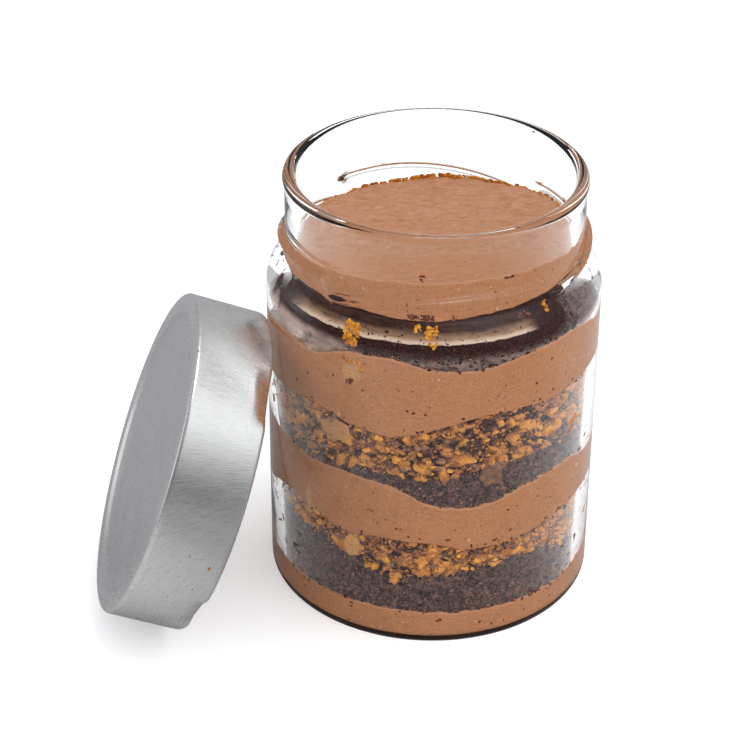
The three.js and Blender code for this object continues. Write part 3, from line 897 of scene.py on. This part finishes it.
def wet(seed):
    """Reach of a mousse side: it wets the glass, apart from a few trapped bubbles."""
    random = np.random.default_rng(seed)

    def reach(points):
        away = np.full(len(points), GLASS_CONTACT)
        low, high = points[:, 2].min(), points[:, 2].max()
        for _ in range(BUBBLES):
            azimuth = random.uniform(0, 360)
            height = random.uniform(low, high)
            size = random.uniform(0.2, 0.5) * MM
            centre = place_round(azimuth, settings().body_radius - BODY_WALL, height)
            distance = np.linalg.norm(points - centre, axis=1) / size
            away -= BUBBLE_DEPTH * np.clip(1.3 - distance, 0, 1)
        return away

    return reach


def pressed_in(points):
    """1 where the cake is pressed against the glass: in the front of the shoulder."""
    azimuth = azimuth_of(points) + 7 * rough(points, 3 * MM, 8)
    front = between(azimuth, PRESSED_LEFT, PRESSED_RIGHT)
    return front * smoothstep(points[:, 2], *PRESSED_FOOT)


def crumbly(seed, relief):
    """Reach of a cake side: uneven, with only its tips at the glass, but wetting it in the
    jar's shoulder, where the cake is pressed in."""

    def reach(points):
        depth = 0.42 + 0.55 * rough(points, 3.2 * MM, seed)
        depth += 0.45 * rough(points, 1.3 * MM, seed + 1)
        depth += 0.30 * rough(points, 0.6 * MM, seed + 2)
        pressed = pressed_in(points)
        depth = depth * (1 - pressed) + (depth - 1.1) * pressed
        contact = TIP_CONTACT + (GLASS_CONTACT - TIP_CONTACT) * pressed
        return contact - relief * np.clip(depth, 0.0, 1.5)

    return reach


def set_back(seed):
    """Reach of a crunch layer's core, behind the pieces that show."""

    def reach(points):
        return 0.6 * MM * rough(points, 2.2 * MM, seed) - CORE_DEPTH

    return reach


def layer_borders():
    """Every border between the layers, from the floor up."""
    return {
        "floor": Floor(),
        "base": Border("mousse_base", True, 3, 0.45 * MM),
        "cake_bottom": Border("cake_bottom", True, 9, 1.0 * MM),
        "crunch_lower": Border("mousse_lower", False, 15, 0.55 * MM),
        "mousse_lower": Border("mousse_lower", True, 21, 0.55 * MM),
        "cake_middle": Border("cake_middle", True, 27, 1.0 * MM),
        "crunch_upper": Border("mousse_upper", False, 33, 0.55 * MM),
        "mousse_upper": Border("mousse_upper", True, 39, 0.4 * MM),
        "cake_top": Border("mousse_top", False, 45, 0.5 * MM),
        "top": TopOfMousse("mousse_top", True, 51, 0.62 * MM),
    }


class CAKEJAR_OT_mousse(bpy.types.Operator):
    """Fill in the four layers of mousse, which wet the glass"""

    bl_idname = "cakejar.mousse"
    bl_label = "Mousse Layers"

    def execute(self, context):
        borders = layer_borders()
        mousse = mousse_material()
        # Borders below and above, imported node, rows of its side and rings of its top
        layers = (
            ("base_mousse", "floor", "base", "mousse_base", 20, 8),
            ("lower_mousse", "crunch_lower", "mousse_lower", "mousse_lower", 44, 8),
            ("upper_mousse", "crunch_upper", "mousse_upper", "mousse_upper", 44, 8),
            ("top_mousse", "cake_top", "top", "mousse_top", 26, 84),
        )
        for number, (name, foot, top, node, rows, rings) in enumerate(layers):
            piece = layer(name, borders[foot], borders[top], wet(100 + number), rows, rings)
            finish(piece, mousse, "mousse", node)
        return {"FINISHED"}


def smear(points):
    """Where mousse is smeared over the cake in the shoulder: most on the left."""
    azimuth = azimuth_of(points) + 6 * rough(points, 4 * MM, 12)
    height = points[:, 2] / MM
    left = between(azimuth, SMEAR_BEHIND, SMEAR_FRONT)
    low = 1 - smoothstep(height, SMEAR_FOOT[1], SMEAR_TOP)
    foot = 1 - smoothstep(height, *SMEAR_FOOT)
    return np.maximum(left * low, 0.3 * foot)


class CAKEJAR_OT_cake(bpy.types.Operator):
    """Fill in the three layers of dark cake, which touch the glass with their tips"""

    bl_idname = "cakejar.cake"
    bl_label = "Cake Layers"

    def execute(self, context):
        borders = layer_borders()
        cake = cake_material()
        # Borders below and above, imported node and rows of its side
        layers = (
            ("bottom_cake", "base", "cake_bottom", "cake_bottom", 34),
            ("middle_cake", "mousse_lower", "cake_middle", "cake_middle", 24),
            ("top_cake", "mousse_upper", "cake_top", "cake_top", 34),
        )
        for number, (name, foot, top, node, rows) in enumerate(layers):
            reach = crumbly(60 + 5 * number, settings().cake_relief)
            piece = layer(name, borders[foot], borders[top], reach, rows)
            points = corners(piece)
            in_shoulder = node == "cake_top"
            set_attribute(piece, "smear", smear(points) * in_shoulder)
            set_attribute(piece, "pressed", pressed_in(points) * in_shoulder)
            azimuth = azimuth_of(points)
            # The band round the shoulder: melted mousse with a painted reflection and highlight
            set_attribute(piece, "above_film_and_reflection", points[:, 2] / MM - FILM_AND_REFLECTION_HEIGHT)
            set_attribute(piece, "film_and_reflection", between(azimuth, FILM_AND_REFLECTION_LEFT, FILM_AND_REFLECTION_RIGHT) * in_shoulder)
            finish(piece, cake, "cake", node)
            if in_shoulder:
                self.press_crumbs(borders[foot], borders[top])
            else:
                self.scatter_crumbs(node, borders[foot], borders[top], 700 + number)
        return {"FINISHED"}

    def press_crumbs(self, foot, top):
        """Moist crumbs pressed against the glass in the shoulder."""
        random = np.random.default_rng(760)
        lumps = rugged_lumps(760, 6, 1, 0.16)
        sizes, tones, depths = (0.3, 0.95), (0.4, 0.3), (-0.35, 0.1)
        spots = crunch_spots(random, PRESSED_CRUMBS, foot, top, sizes, tones, depths)
        spots = [spot for spot in spots if self.in_dark_cake(spot)]
        crumb = biscuit_material(
            "moist_crumbs", (0.006, 0.002, 0.002), (0.022, 0.006, 0.004), (0.17, 0.040, 0.024),
        )
        crumbs = joined_pieces("shoulder_crumbs", lumps, spots, GLASS_CONTACT + TIP_CONTACT)
        finish(crumbs, crumb, "cake")

    def in_dark_cake(self, spot):
        """Whether a crumb lies in the pressed cake and not in the smear over it."""
        azimuth = (spot.azimuth + 180) % 360 - 180
        smeared = azimuth < SMEAR_END and spot.height < SMEAR_TOP * MM
        return abs(azimuth) < PRESSED_CRUMBS_END and not smeared

    def scatter_crumbs(self, node, foot, top, seed):
        """Crumbs of the cut cake that stand proud of its side."""
        random = np.random.default_rng(seed)
        lumps = rugged_lumps(seed, 6, 1, 0.14)
        sizes, tones, depths = (0.4, 1.3), (0.45, 0.24), (-0.1, 0.8)
        spots = crunch_spots(random, CUT_CRUMBS, foot, top, sizes, tones, depths)
        crumb = biscuit_material(
            "cake_crumbs", (0.022, 0.010, 0.009), (0.135, 0.066, 0.058), (0.36, 0.20, 0.15),
        )
        crumbs = joined_pieces(f"{node}_crumbs", lumps, spots)
        finish(crumbs, crumb, "cake")


# ------------------------------------------------------------------ loose pieces

# A loose piece: where it lies against the glass, its size along the wall, through it and
# up, its turn and lean in degrees, how far it lies behind the glass, and its tone.
Spot = namedtuple("Spot", "azimuth height length depth width turn lean inset tone")


def knocked_out_of_shape(number, roughness):
    """Corners and faces of the active piece with its corners moved about at random."""
    piece = bpy.context.object
    bpy.ops.object.mode_set(mode="EDIT")
    bpy.ops.mesh.select_all(action="SELECT")
    bpy.ops.transform.vertex_random(offset=roughness, seed=number)
    bpy.ops.object.mode_set(mode="OBJECT")
    points = corners(piece)
    faces = np.array([list(face.vertices) for face in piece.data.polygons])
    bpy.data.objects.remove(piece)
    return points, faces


def rugged_lump(number, subdivisions, roughness, lumpiness=0.0):
    """A rounded lump, 1 across. Lumpiness makes its outline uneven."""
    bpy.ops.object.select_all(action="DESELECT")
    bpy.ops.mesh.primitive_ico_sphere_add(subdivisions=subdivisions, radius=0.5)
    points, faces = knocked_out_of_shape(number, roughness)
    swelling = rough(points, 0.42, number) + 0.6 * rough(points, 0.2, number + 1)
    return points * (1 + lumpiness * swelling)[:, None], faces


def rugged_lumps(first, count, subdivisions, roughness, lumpiness=0.0):
    """Lumps of different shapes, numbered from the first."""
    return [
        rugged_lump(number, subdivisions, roughness, lumpiness)
        for number in range(first, first + count)
    ]


def rugged_shard(number, roughness):
    """A broken shard with corners, 1 across."""
    bpy.ops.object.select_all(action="DESELECT")
    bpy.ops.mesh.primitive_cube_add(size=0.9)
    bpy.ops.object.mode_set(mode="EDIT")
    bpy.ops.mesh.select_all(action="SELECT")
    bpy.ops.mesh.subdivide(number_cuts=2, smoothness=0.3)
    bpy.ops.object.mode_set(mode="OBJECT")
    return knocked_out_of_shape(number, roughness)


def spot_matrix(spot):
    """Turn and size of a loose piece, and its place, as numpy arrays."""
    size = Matrix.Diagonal((spot.length, spot.depth, spot.width))
    turn = Matrix.Rotation(math.radians(spot.turn), 3, "Y")
    lean = Matrix.Rotation(math.radians(spot.lean), 3, "X")
    around = Matrix.Rotation(math.radians(spot.azimuth), 3, "Z")
    radius = float(wall_radius(spot.height)) - spot.inset - 0.42 * spot.depth
    place = around @ Vector((0, -radius, spot.height))
    return np.array(around @ lean @ turn @ size), np.array(place)


def press_to_glass(points, reach):
    """Holds corners back at the glass, as a piece is pressed flat against it."""
    radius = radius_of(points)
    limit = wall_radius(points[:, 2]) + reach
    points[:, :2] *= np.minimum(1.0, limit / np.maximum(radius, MM))[:, None]


def joined_pieces(name, shapes, spots, reach=TIP_CONTACT, relief=0.0):
    """One mesh of many loose pieces, with the tone of each as an attribute. Relief paints light
    and shade into that tone: what faces up or lies at the glass lighter, what faces down or lies
    deeper behind it darker."""
    all_points, all_faces, tones = [], [], []
    offset = 0
    for number, spot in enumerate(spots):
        points, faces = shapes[number % len(shapes)]
        turn, place = spot_matrix(spot)
        turned = points @ turn.T
        all_points.append(turned + place)
        all_faces += (faces + offset).tolist()
        # Painted light and shade: each piece is lighter on top and darker below
        top_light = np.clip(2 * turned[:, 2] / max(spot.width, spot.depth), -1, 1)
        tones.append(spot.tone + relief * top_light)
        offset += len(points)
    points = np.concatenate(all_points)
    if reach is not None:
        press_to_glass(points, reach)
    piece = new_piece(name, points, faces=all_faces)
    # Painted shade: corners deep behind the glass are darker, those at it lighter
    behind = (wall_radius(points[:, 2]) - radius_of(points)) / MM
    depth_shade = relief * (0.5 - 1.1 * np.clip(behind, 0, 2))
    set_attribute(piece, "tone", np.concatenate(tones) + depth_shade)
    return piece


def crunch_spots(random, count, foot, top, lengths, tones, depths):
    """Spots spread evenly round a crunch layer and at random over its height."""
    golden_angle = 137.508
    azimuths = (np.arange(count) * golden_angle + random.uniform(-4, 4, count)) % 360
    low = foot.at_glass(azimuths)
    high = top.at_glass(azimuths)
    spots = []
    for azimuth, bottom, ceiling in zip(azimuths, low, high):
        length = random.uniform(*lengths) * MM * random.choice((0.75, 1.0, 1.0, 1.3))
        width = length * random.uniform(0.3, 0.8)
        depth = length * random.uniform(0.45, 0.75)
        spots.append(Spot(
            azimuth=azimuth,
            height=random.uniform(bottom, ceiling),
            length=length,
            depth=depth,
            width=width,
            turn=random.normal(-8, 42),
            lean=random.uniform(-35, 35),
            inset=random.uniform(*depths) * MM,
            tone=float(np.clip(random.normal(*tones), 0, 1)),
        ))
    return spots


class CAKEJAR_OT_crunch(bpy.types.Operator):
    """Fill the two crunch layers with flakes and granules round a dark core"""

    bl_idname = "cakejar.crunch"
    bl_label = "Crunch Layers"

    def execute(self, context):
        borders = layer_borders()
        flake_material = biscuit_material(
            "golden_biscuit", (0.22, 0.08, 0.038), (0.62, 0.24, 0.068),
            settings().biscuit_colour,
        )
        granule_material = biscuit_material(
            "brown_granules", (0.065, 0.025, 0.019), (0.25, 0.108, 0.080), (0.46, 0.23, 0.14),
        )
        clusters = rugged_lumps(10, 10, 3, 0.035, 0.5)
        flakes = rugged_lumps(20, 9, 2, 0.06, 0.55)
        flakes += [rugged_shard(number, 0.14) for number in range(3)]
        grit = rugged_lumps(30, 7, 1, 0.16)
        lumps = rugged_lumps(40, 8, 2, 0.1, 0.3)
        jar = settings()
        # Name, shapes, how many, range of lengths in mm, middle and spread of tones, range of
        # depths in mm, painted shade that darkens a piece below and deep behind, material and sharp
        # angle
        kinds = (
            ("biscuit_clusters", clusters, BISCUIT_CLUSTERS, (2.4, 4.2), (0.5, 0.2), (0.0, 0.9),
             CRUNCH_SHADE, flake_material, 35),
            ("biscuit_flakes", flakes, jar.flakes, (0.8, 2.4), (0.58, 0.25), (-0.1, 2.0),
             CRUNCH_SHADE, flake_material, 35),
            ("biscuit_grit", grit, jar.grit, (0.35, 0.9), (0.6, 0.28), (-0.1, 1.2),
             0.0, flake_material, 35),
            ("granules", lumps, jar.granules, (0.9, 2.3), (0.5, 0.27), (0.1, 2.4),
             CRUNCH_SHADE, granule_material, 40),
        )
        layers = (
            ("upper", "cake_middle", "crunch_upper", "crunch_upper", 200),
            ("lower", "cake_bottom", "crunch_lower", "crunch_lower", 300),
        )
        for name, foot, top, node, seed in layers:
            random = np.random.default_rng(seed)
            low, high = borders[foot], borders[top]
            core = layer(f"{name}_crunch_core", low, high, set_back(seed), 16)
            # Painted shade: the core takes a dark tone, for the shade deep between the pieces
            set_attribute(core, "tone", np.full(len(core.data.vertices), 0.25))
            finish(core, granule_material, "crunch", node)
            for kind, shapes, count, lengths, tones, depths, relief, made_of, sharp_angle in kinds:
                spots = crunch_spots(random, count, low, high, lengths, tones, depths)
                piece = joined_pieces(f"{name}_{kind}", shapes, spots, relief=relief)
                finish(piece, made_of, "crunch", node, sharp_angle=sharp_angle)
        return {"FINISHED"}


class CAKEJAR_OT_chunks(bpy.types.Operator):
    """Press the large pale chunks of biscuit against the glass"""

    bl_idname = "cakejar.chunks"
    bl_label = "Pale Chunks"

    def execute(self, context):
        pale = biscuit_material(
            "pale_biscuit", (0.17, 0.085, 0.065), (0.54, 0.27, 0.135), (0.76, 0.37, 0.13),
        )
        shapes = rugged_lumps(70, len(PALE_CHUNKS), 4, 0.014, 0.34)
        spots = [
            Spot(azimuth, height * MM, width * MM, CHUNK_DEPTH, tall * MM, 0, 0, -CHUNK_PRESS, tone)
            for azimuth, height, width, tall, tone in PALE_CHUNKS
        ]
        chunks = joined_pieces("pale_chunks", shapes, spots, reach=GLASS_CONTACT + 0.05 * MM)
        finish(chunks, pale, "crunch")
        return {"FINISHED"}


# ------------------------------------------------------------------ crumbs on the glass


def cluster_spots(random, clusters, lengths, tones):
    """Crumbs gathered in clusters that stick to the glass."""
    spots = []
    for azimuth, height, wide, tall, count in clusters:
        radius = float(wall_radius(height * MM)) / MM
        for _ in range(count):
            across, up = random.uniform(-0.5, 0.5, 2)
            length = random.uniform(*lengths) * MM
            spots.append(Spot(
                azimuth=azimuth + math.degrees(across * wide / radius),
                height=(height + up * tall) * MM,
                length=length,
                depth=0.5 * length,
                width=0.75 * length,
                turn=random.uniform(0, 180),
                lean=random.uniform(-20, 20),
                inset=STUCK,
                tone=float(np.clip(random.normal(*tones), 0, 1)),
            ))
    return spots


def edge_specks(random):
    """Dark specks caught along the lower edges of the mousse and scattered over it."""
    borders = layer_borders()
    spots = []
    for foot, top in (
        ("crunch_upper", "mousse_upper"), ("crunch_lower", "mousse_lower"), ("floor", "base"),
    ):
        azimuths = random.uniform(0, 360, EDGE_SPECKS)
        low = borders[foot].inside(azimuths, 1.0)
        high = borders[top].inside(azimuths, 1.0)
        nearest = low if foot != "floor" else high
        for azimuth, edge, bottom, ceiling in zip(azimuths, nearest, low, high):
            near = random.random() < 0.7
            height = edge + random.normal(0, 0.7) * MM if near else random.uniform(bottom, ceiling)
            length = random.uniform(0.35, 0.95) * MM
            spots.append(Spot(
                azimuth, height, length, 0.4 * length, 0.7 * length, random.uniform(0, 180),
                0, -0.25 * MM, random.uniform(0.1, 0.7),
            ))
    return spots


class CAKEJAR_OT_crumbs(bpy.types.Operator):
    """Scatter the crumbs that stick to the glass and the rim"""

    bl_idname = "cakejar.crumbs"
    bl_label = "Crumbs"

    def execute(self, context):
        random = np.random.default_rng(500)
        shapes = rugged_lumps(90, 6, 2, 0.14)
        golden = biscuit_material(
            "golden_crumbs", (0.34, 0.09, 0.010), (0.68, 0.23, 0.014), (0.94, 0.44, 0.04),
        )
        dark = biscuit_material(
            "dark_crumbs", (0.045, 0.010, 0.006), (0.13, 0.030, 0.016), (0.28, 0.072, 0.03),
        )
        reach = GLASS_CONTACT + 0.04 * MM
        spots = cluster_spots(random, GOLDEN_CLUSTERS, (0.45, 1.15), (0.55, 0.3))
        finish(joined_pieces("golden_crumbs", shapes, spots, reach), golden, "crunch")
        spots = cluster_spots(random, DARK_CLUSTERS, (0.3, 0.85), (0.6, 0.3))
        spots += edge_specks(random)
        finish(joined_pieces("dark_crumbs", shapes, spots, reach), dark, "cake")
        finish(joined_pieces("back_wall_crumbs", shapes, back_wall_spots(random)), golden, "crunch")
        rim = joined_pieces("rim_crumbs", shapes, rim_spots(random), reach=None)
        finish(rim, dark, "cake")
        tiny = rugged_lumps(110, 6, 1, 0.16)
        specks = joined_pieces("wall_specks", tiny, wall_specks(random))
        finish(specks, bpy.data.materials["golden_biscuit"], "crunch")
        return {"FINISHED"}


def back_wall_spots(random):
    """Crumbs wiped up the wall behind the mousse's top, thickest at the back."""
    top = layer_borders()["top"]
    spots = []
    for _ in range(BACK_WALL_CRUMBS):
        azimuth = random.normal(180, 22) if random.random() < 0.8 else random.uniform(110, 225)
        edge = float(top.inside(np.array([azimuth]), 1.0)[0])
        thick = 0.7 * math.exp(-(((azimuth - 180) / 34) ** 2)) + 0.1
        length = random.uniform(0.5, 1.2) * MM
        spots.append(Spot(
            azimuth, edge + random.uniform(-0.15, thick) * MM, length, 0.35 * length,
            0.6 * length, random.normal(0, 20), 0, 0.02 * MM, random.uniform(0.0, 0.7),
        ))
    return spots


def wall_specks(random):
    """Fine crumbs stuck to the glass: over all that is dry, and thick along the foot of
    each lower cake layer."""
    borders = layer_borders()
    spots = []
    for foot, top, count in (
        ("base", "crunch_lower", 800), ("mousse_lower", "crunch_upper", 800),
        ("mousse_upper", "cake_top", 240),
    ):
        azimuths = random.uniform(0, 360, count)
        low = borders[foot].at_glass(azimuths)
        high = borders[top].at_glass(azimuths)
        for azimuth, bottom, ceiling in zip(azimuths, low, high):
            rise = random.uniform(0, 1) ** 4
            length = random.uniform(0.22, 0.6) * MM
            spots.append(Spot(
                azimuth, bottom + (ceiling - bottom) * rise, length, 0.4 * length,
                0.6 * length, random.uniform(0, 180), 0, -0.05 * MM, random.uniform(0.2, 0.9),
            ))
    return spots


def rim_spots(random):
    """Crumbs on the rim, on the round of its inner side, and in the mousse's pits."""
    ridge = NECK_INNER_RADIUS + RIM_ROUNDING
    spots = []
    for azimuth, radius in RIM_CRUMBS:
        off = min(abs(radius * MM - ridge), RIM_ROUNDING)
        height = settings().jar_height - RIM_ROUNDING + math.sqrt(RIM_ROUNDING**2 - off**2)
        inset = float(wall_radius(height)) - radius * MM
        size = random.uniform(0.5, 0.8) * MM
        height -= 0.3 * size
        spots.append(Spot(azimuth, height, size, 0.7 * size, 0.5 * size, 0, 0, inset, 0.6))
    top = layer_borders()["top"]
    for x, y, pit in TOP_PITS:
        azimuth = math.degrees(math.atan2(x, -y))
        away = math.hypot(x, y) * MM
        height = float(top.inside(np.array([azimuth]), away / NECK_INNER_RADIUS)[0])
        size = 0.9 * pit * MM
        inset = float(wall_radius(height)) - away - 0.3 * size
        spots.append(Spot(azimuth, height, size, 0.8 * size, 0.4 * size, 0, 0, inset, 0.8))
    return spots


# ------------------------------------------------------------------ cap


def cap_place():
    """The cap stands on its open edge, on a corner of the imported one, and leans on the jar."""
    tilt, turn, away = (math.radians(a) for a in (CAP_TILT, CAP_TURN, CAP_PLACE_TURN))
    axis = Vector((
        math.cos(turn) * math.cos(tilt), math.sin(turn) * math.cos(tilt), math.sin(tilt),
    ))
    across = Vector((0, 0, 1)).cross(axis).normalized()
    up = axis.cross(across)
    place = Matrix((across, up, axis)).transposed().to_4x4()
    corner_radius = settings().cap_radius / math.cos(math.pi / CAD_SIDES)
    drop = (corner_radius - CURL_RADIUS) * math.cos(tilt) - CURL_RADIUS * math.sin(tilt)
    place.translation = (
        CAP_PLACE_DISTANCE * math.cos(away),
        CAP_PLACE_DISTANCE * math.sin(away),
        drop + CURL_RADIUS,
    )
    return place


def cap_profile():
    outer = settings().cap_radius
    inner = outer - CAP_WALL
    top = CAP_HEIGHT
    ceiling = top - CAP_WALL
    ring = outer - CAP_RING_WIDTH
    edge = CAP_EDGE_ROUNDING
    curl = CURL_RADIUS
    soft = 0.35 * MM
    return [
        (0.0, CAP_PANEL - CAP_WALL),
        *[(share * ring, CAP_PANEL - CAP_WALL) for share in np.linspace(0.2, 0.9, 5)],
        (ring - 1.2 * MM, CAP_PANEL - CAP_WALL),
        (ring + 0.3 * MM, ceiling),
        *arc(inner - soft, ceiling - soft, soft, 90, 0, 4),
        *[(inner, height) for height in np.linspace(ceiling - 1.5 * MM, CURL_END, 8)],
        *arc(outer - curl, curl, curl, 120, 360, 20),
        *[(outer, height) for height in np.linspace(1.6 * MM, top - 2 * edge, 12)],
        *arc(outer - edge, top - edge, edge, 0, 90, 10),
        *[
            (ring - share * CAP_STEP_WIDTH, top - CAP_PANEL_DEPTH * smoothstep(share, 0, 1))
            for share in np.linspace(0, 1, 9)
        ],
        *[(share * ring, CAP_PANEL) for share in np.linspace(0.9, 0.2, 5)],
        (0.0, CAP_PANEL),
    ]


def press_cap_lugs(points):
    """Presses the curled edge inwards at each lug."""
    turn = azimuth_of(points)
    pitch = 360 / CAP_LUG_COUNT
    off = np.abs((turn - CAP_LUG_FIRST + pitch / 2) % pitch - pitch / 2)
    press = 1 - smoothstep(off, 0.2 * CAP_LUG_SPAN, 0.6 * CAP_LUG_SPAN)
    near_edge = 1 - smoothstep(points[:, 2], 0.0, 4 * CURL_RADIUS)
    radius = radius_of(points)
    share = 1 - CAP_LUG_DEPTH * press * near_edge / np.maximum(radius, MM)
    points[:, :2] *= share[:, None]


def unroll_sheet(piece, points):
    """UV map of the flat sheet that the cap was pressed from, in millimetres, so that the
    streaks of its rolling run straight over the panel and down the skirt."""
    radius = radius_of(points)
    turn = np.arctan2(points[:, 1], points[:, 0])
    flat = radius + np.maximum(CAP_PANEL - points[:, 2], 0)
    sheet = np.column_stack([flat * np.cos(turn), flat * np.sin(turn)]) / MM
    uv = piece.data.uv_layers.new(name="rolled_sheet")
    loops = np.empty(len(piece.data.loops), dtype=int)
    piece.data.loops.foreach_get("vertex_index", loops)
    uv.data.foreach_set("uv", sheet[loops].ravel())


class CAKEJAR_OT_cap(bpy.types.Operator):
    """Spin the tinplate cap, press its lugs and lean it on the jar"""

    bl_idname = "cakejar.cap"
    bl_label = "Twist Cap"

    def execute(self, context):
        cap = spin("twist_cap", cap_profile(), CAP_STEPS)
        points = corners(cap)
        press_cap_lugs(points)
        move_corners(cap, points)
        unroll_sheet(cap, points)
        radius = radius_of(points)
        inner = radius < settings().cap_radius - 0.9 * CAP_WALL
        low = points[:, 2] < CAP_PANEL - 0.5 * CAP_WALL
        set_attribute(cap, "lacquered", inner & low & (points[:, 2] > CURL_END))
        place = cap_place()
        cap.data.transform(place)
        finish(cap, tinplate_material(), "tinplate", "cap", sharp_angle=60)
        self.scatter_specks(place)
        return {"FINISHED"}

    def scatter_specks(self, place):
        """Crumbs that stick to the cap's side."""
        shape, faces = rugged_lump(140, 2, 0.14)
        points, all_faces = [], []
        for number, (turn, height, size) in enumerate(CAP_SPECKS):
            angle = math.radians(turn)
            radius = settings().cap_radius
            centre = Vector((radius * math.cos(angle), radius * math.sin(angle), height * MM))
            around = np.array(Matrix.Rotation(angle, 3, "Z"))
            speck = (shape * (0.35, 0.8, 0.6) * size * MM) @ around.T + np.array(centre)
            points.append(speck)
            all_faces.append(faces + number * len(shape))
        faces = np.concatenate(all_faces).tolist()
        specks = new_piece("cap_specks", np.concatenate(points), faces=faces)
        set_attribute(specks, "tone", np.linspace(0.2, 0.6, len(specks.data.vertices)))
        specks.data.transform(place)
        finish(specks, bpy.data.materials["golden_biscuit"], "crunch")


# ------------------------------------------------------------------ stage


def toward(tree, direction, place):
    return put(tree, "ShaderNodeVectorMath", {
        0: direction, 1: place,
    }, operation="DOT_PRODUCT").outputs["Value"]


def add_soft_lights(tree, direction, level, lights):
    """Adds round lights without an edge: strength * exp((cosine - 1) / spread)."""
    for place, strength, spread in lights:
        cosine = toward(tree, direction, Vector(place).normalized())
        power = calculate(tree, "MULTIPLY_ADD", cosine, 1 / spread, -1 / spread)
        glow = calculate(tree, "EXPONENT", power)
        level = calculate(tree, "MULTIPLY_ADD", glow, strength, level)
    return level


class CAKEJAR_OT_stage(bpy.types.Operator):
    """Set up the floor, the soft lights and the camera"""

    bl_idname = "cakejar.stage"
    bl_label = "Stage"

    def execute(self, context):
        self.lay_floor()
        self.light_world(context.scene)
        self.place_camera(context.scene)
        context.scene.view_settings.view_transform = "Standard"
        context.scene.view_settings.look = "None"
        return {"FINISHED"}

    def lay_floor(self):
        bpy.ops.object.select_all(action="DESELECT")
        bpy.ops.mesh.primitive_plane_add(size=4.0, location=(0, 0, -0.05 * MM))
        floor = bpy.context.object
        floor.name = "floor"
        floor.data.materials.append(stage_material())

    def light_world(self, scene):
        """A bright backdrop, a dark room behind the camera and large soft lights. The image
        of it all in glass and metal is dimmer."""
        world = bpy.data.worlds.new("soft_studio")
        scene.world = world
        world.use_nodes = True
        tree = world.node_tree
        key = settings().key_light
        rays = light_path(tree)
        direction = put(tree, "ShaderNodeTexCoord", {}).outputs["Generated"]
        backdrop = contrast(
            tree, toward(tree, direction, (0.25, 0.45, 0.60)), -0.15, 0.55, 0.26, 0.66,
        )
        lighting = add_soft_lights(tree, direction, backdrop, (
            ((0.54, -0.29, 0.79), key, 0.13),
            ((-0.93, -0.10, 0.36), 0.6 * key, 0.14),
            ((-0.20, -0.90, 0.40), 0.2 * key, 0.15),
        ))
        least = calculate(tree, "MULTIPLY", rays["Is Glossy Ray"], 0.62)
        share = calculate(tree, "MULTIPLY_ADD", rays["Is Singular Ray"], -0.12, 0.64)
        dimmer = calculate(tree, "MULTIPLY", backdrop, share)
        image = add_soft_lights(tree, direction, dimmer, (
            ((0.55, -0.38, 0.74), 0.30 * key, 0.085),
            ((0.0, 0.12, 1.0), 2.2 * key, 0.02),
            ((-0.97, 0.20, 0.13), 0.4 * key, 0.04),
        ))
        level = put(tree, "ShaderNodeMix", {
            "Factor": mirrored(tree), "A": calculate(tree, "MAXIMUM", lighting, least), "B": image,
        })
        connect(tree, tree.nodes["Background"], {
            "Color": (0.97, 0.98, 1.0, 1.0), "Strength": level.outputs["Result"],
        })

    def place_camera(self, scene):
        data = bpy.data.cameras.new("camera")
        data.sensor_width = 36
        data.lens = CAMERA_LENS
        data.clip_start = 0.01
        camera = bpy.data.objects.new("camera", data)
        turn, down, roll = (
            Matrix.Rotation(math.radians(angle), 4, axis)
            for angle, axis in ((CAMERA_TURN, "Z"), (90 - CAMERA_DOWN, "X"), (CAMERA_ROLL, "Z"))
        )
        camera.matrix_world = Matrix.Translation(CAMERA_PLACE) @ turn @ down @ roll
        bpy.context.collection.objects.link(camera)
        scene.camera = camera


# ------------------------------------------------------------------ add-on

BUILD_STEPS = (
    CAKEJAR_OT_glass,
    CAKEJAR_OT_mousse,
    CAKEJAR_OT_cake,
    CAKEJAR_OT_crunch,
    CAKEJAR_OT_chunks,
    CAKEJAR_OT_crumbs,
    CAKEJAR_OT_cap,
    CAKEJAR_OT_stage,
)


class CAKEJAR_PT_panel(bpy.types.Panel):
    """Lists the settings and the pieces of the cake in a jar"""

    bl_label = "Cake in a Jar"
    bl_idname = "CAKEJAR_PT_panel"
    bl_space_type = "VIEW_3D"
    bl_region_type = "UI"
    bl_category = "Cake Jar"

    def draw(self, context):
        for name in CakeJarSettings.__annotations__:
            self.layout.prop(context.scene.cake_jar, name)
        for step in BUILD_STEPS:
            self.layout.operator(step.bl_idname)


CLASSES = (CakeJarSettings, *BUILD_STEPS, CAKEJAR_PT_panel)


def register():
    for kind in CLASSES:
        bpy.utils.register_class(kind)
    bpy.types.Scene.cake_jar = PointerProperty(type=CakeJarSettings)


def unregister():
    del bpy.types.Scene.cake_jar
    for kind in reversed(CLASSES):
        bpy.utils.unregister_class(kind)


def main():
    register()
    bpy.ops.cakejar.glass()
    bpy.ops.cakejar.mousse()
    bpy.ops.cakejar.cake()
    bpy.ops.cakejar.crunch()
    bpy.ops.cakejar.chunks()
    bpy.ops.cakejar.crumbs()
    bpy.ops.cakejar.cap()
    bpy.ops.cakejar.stage()


if __name__ == "__main__":
    main()
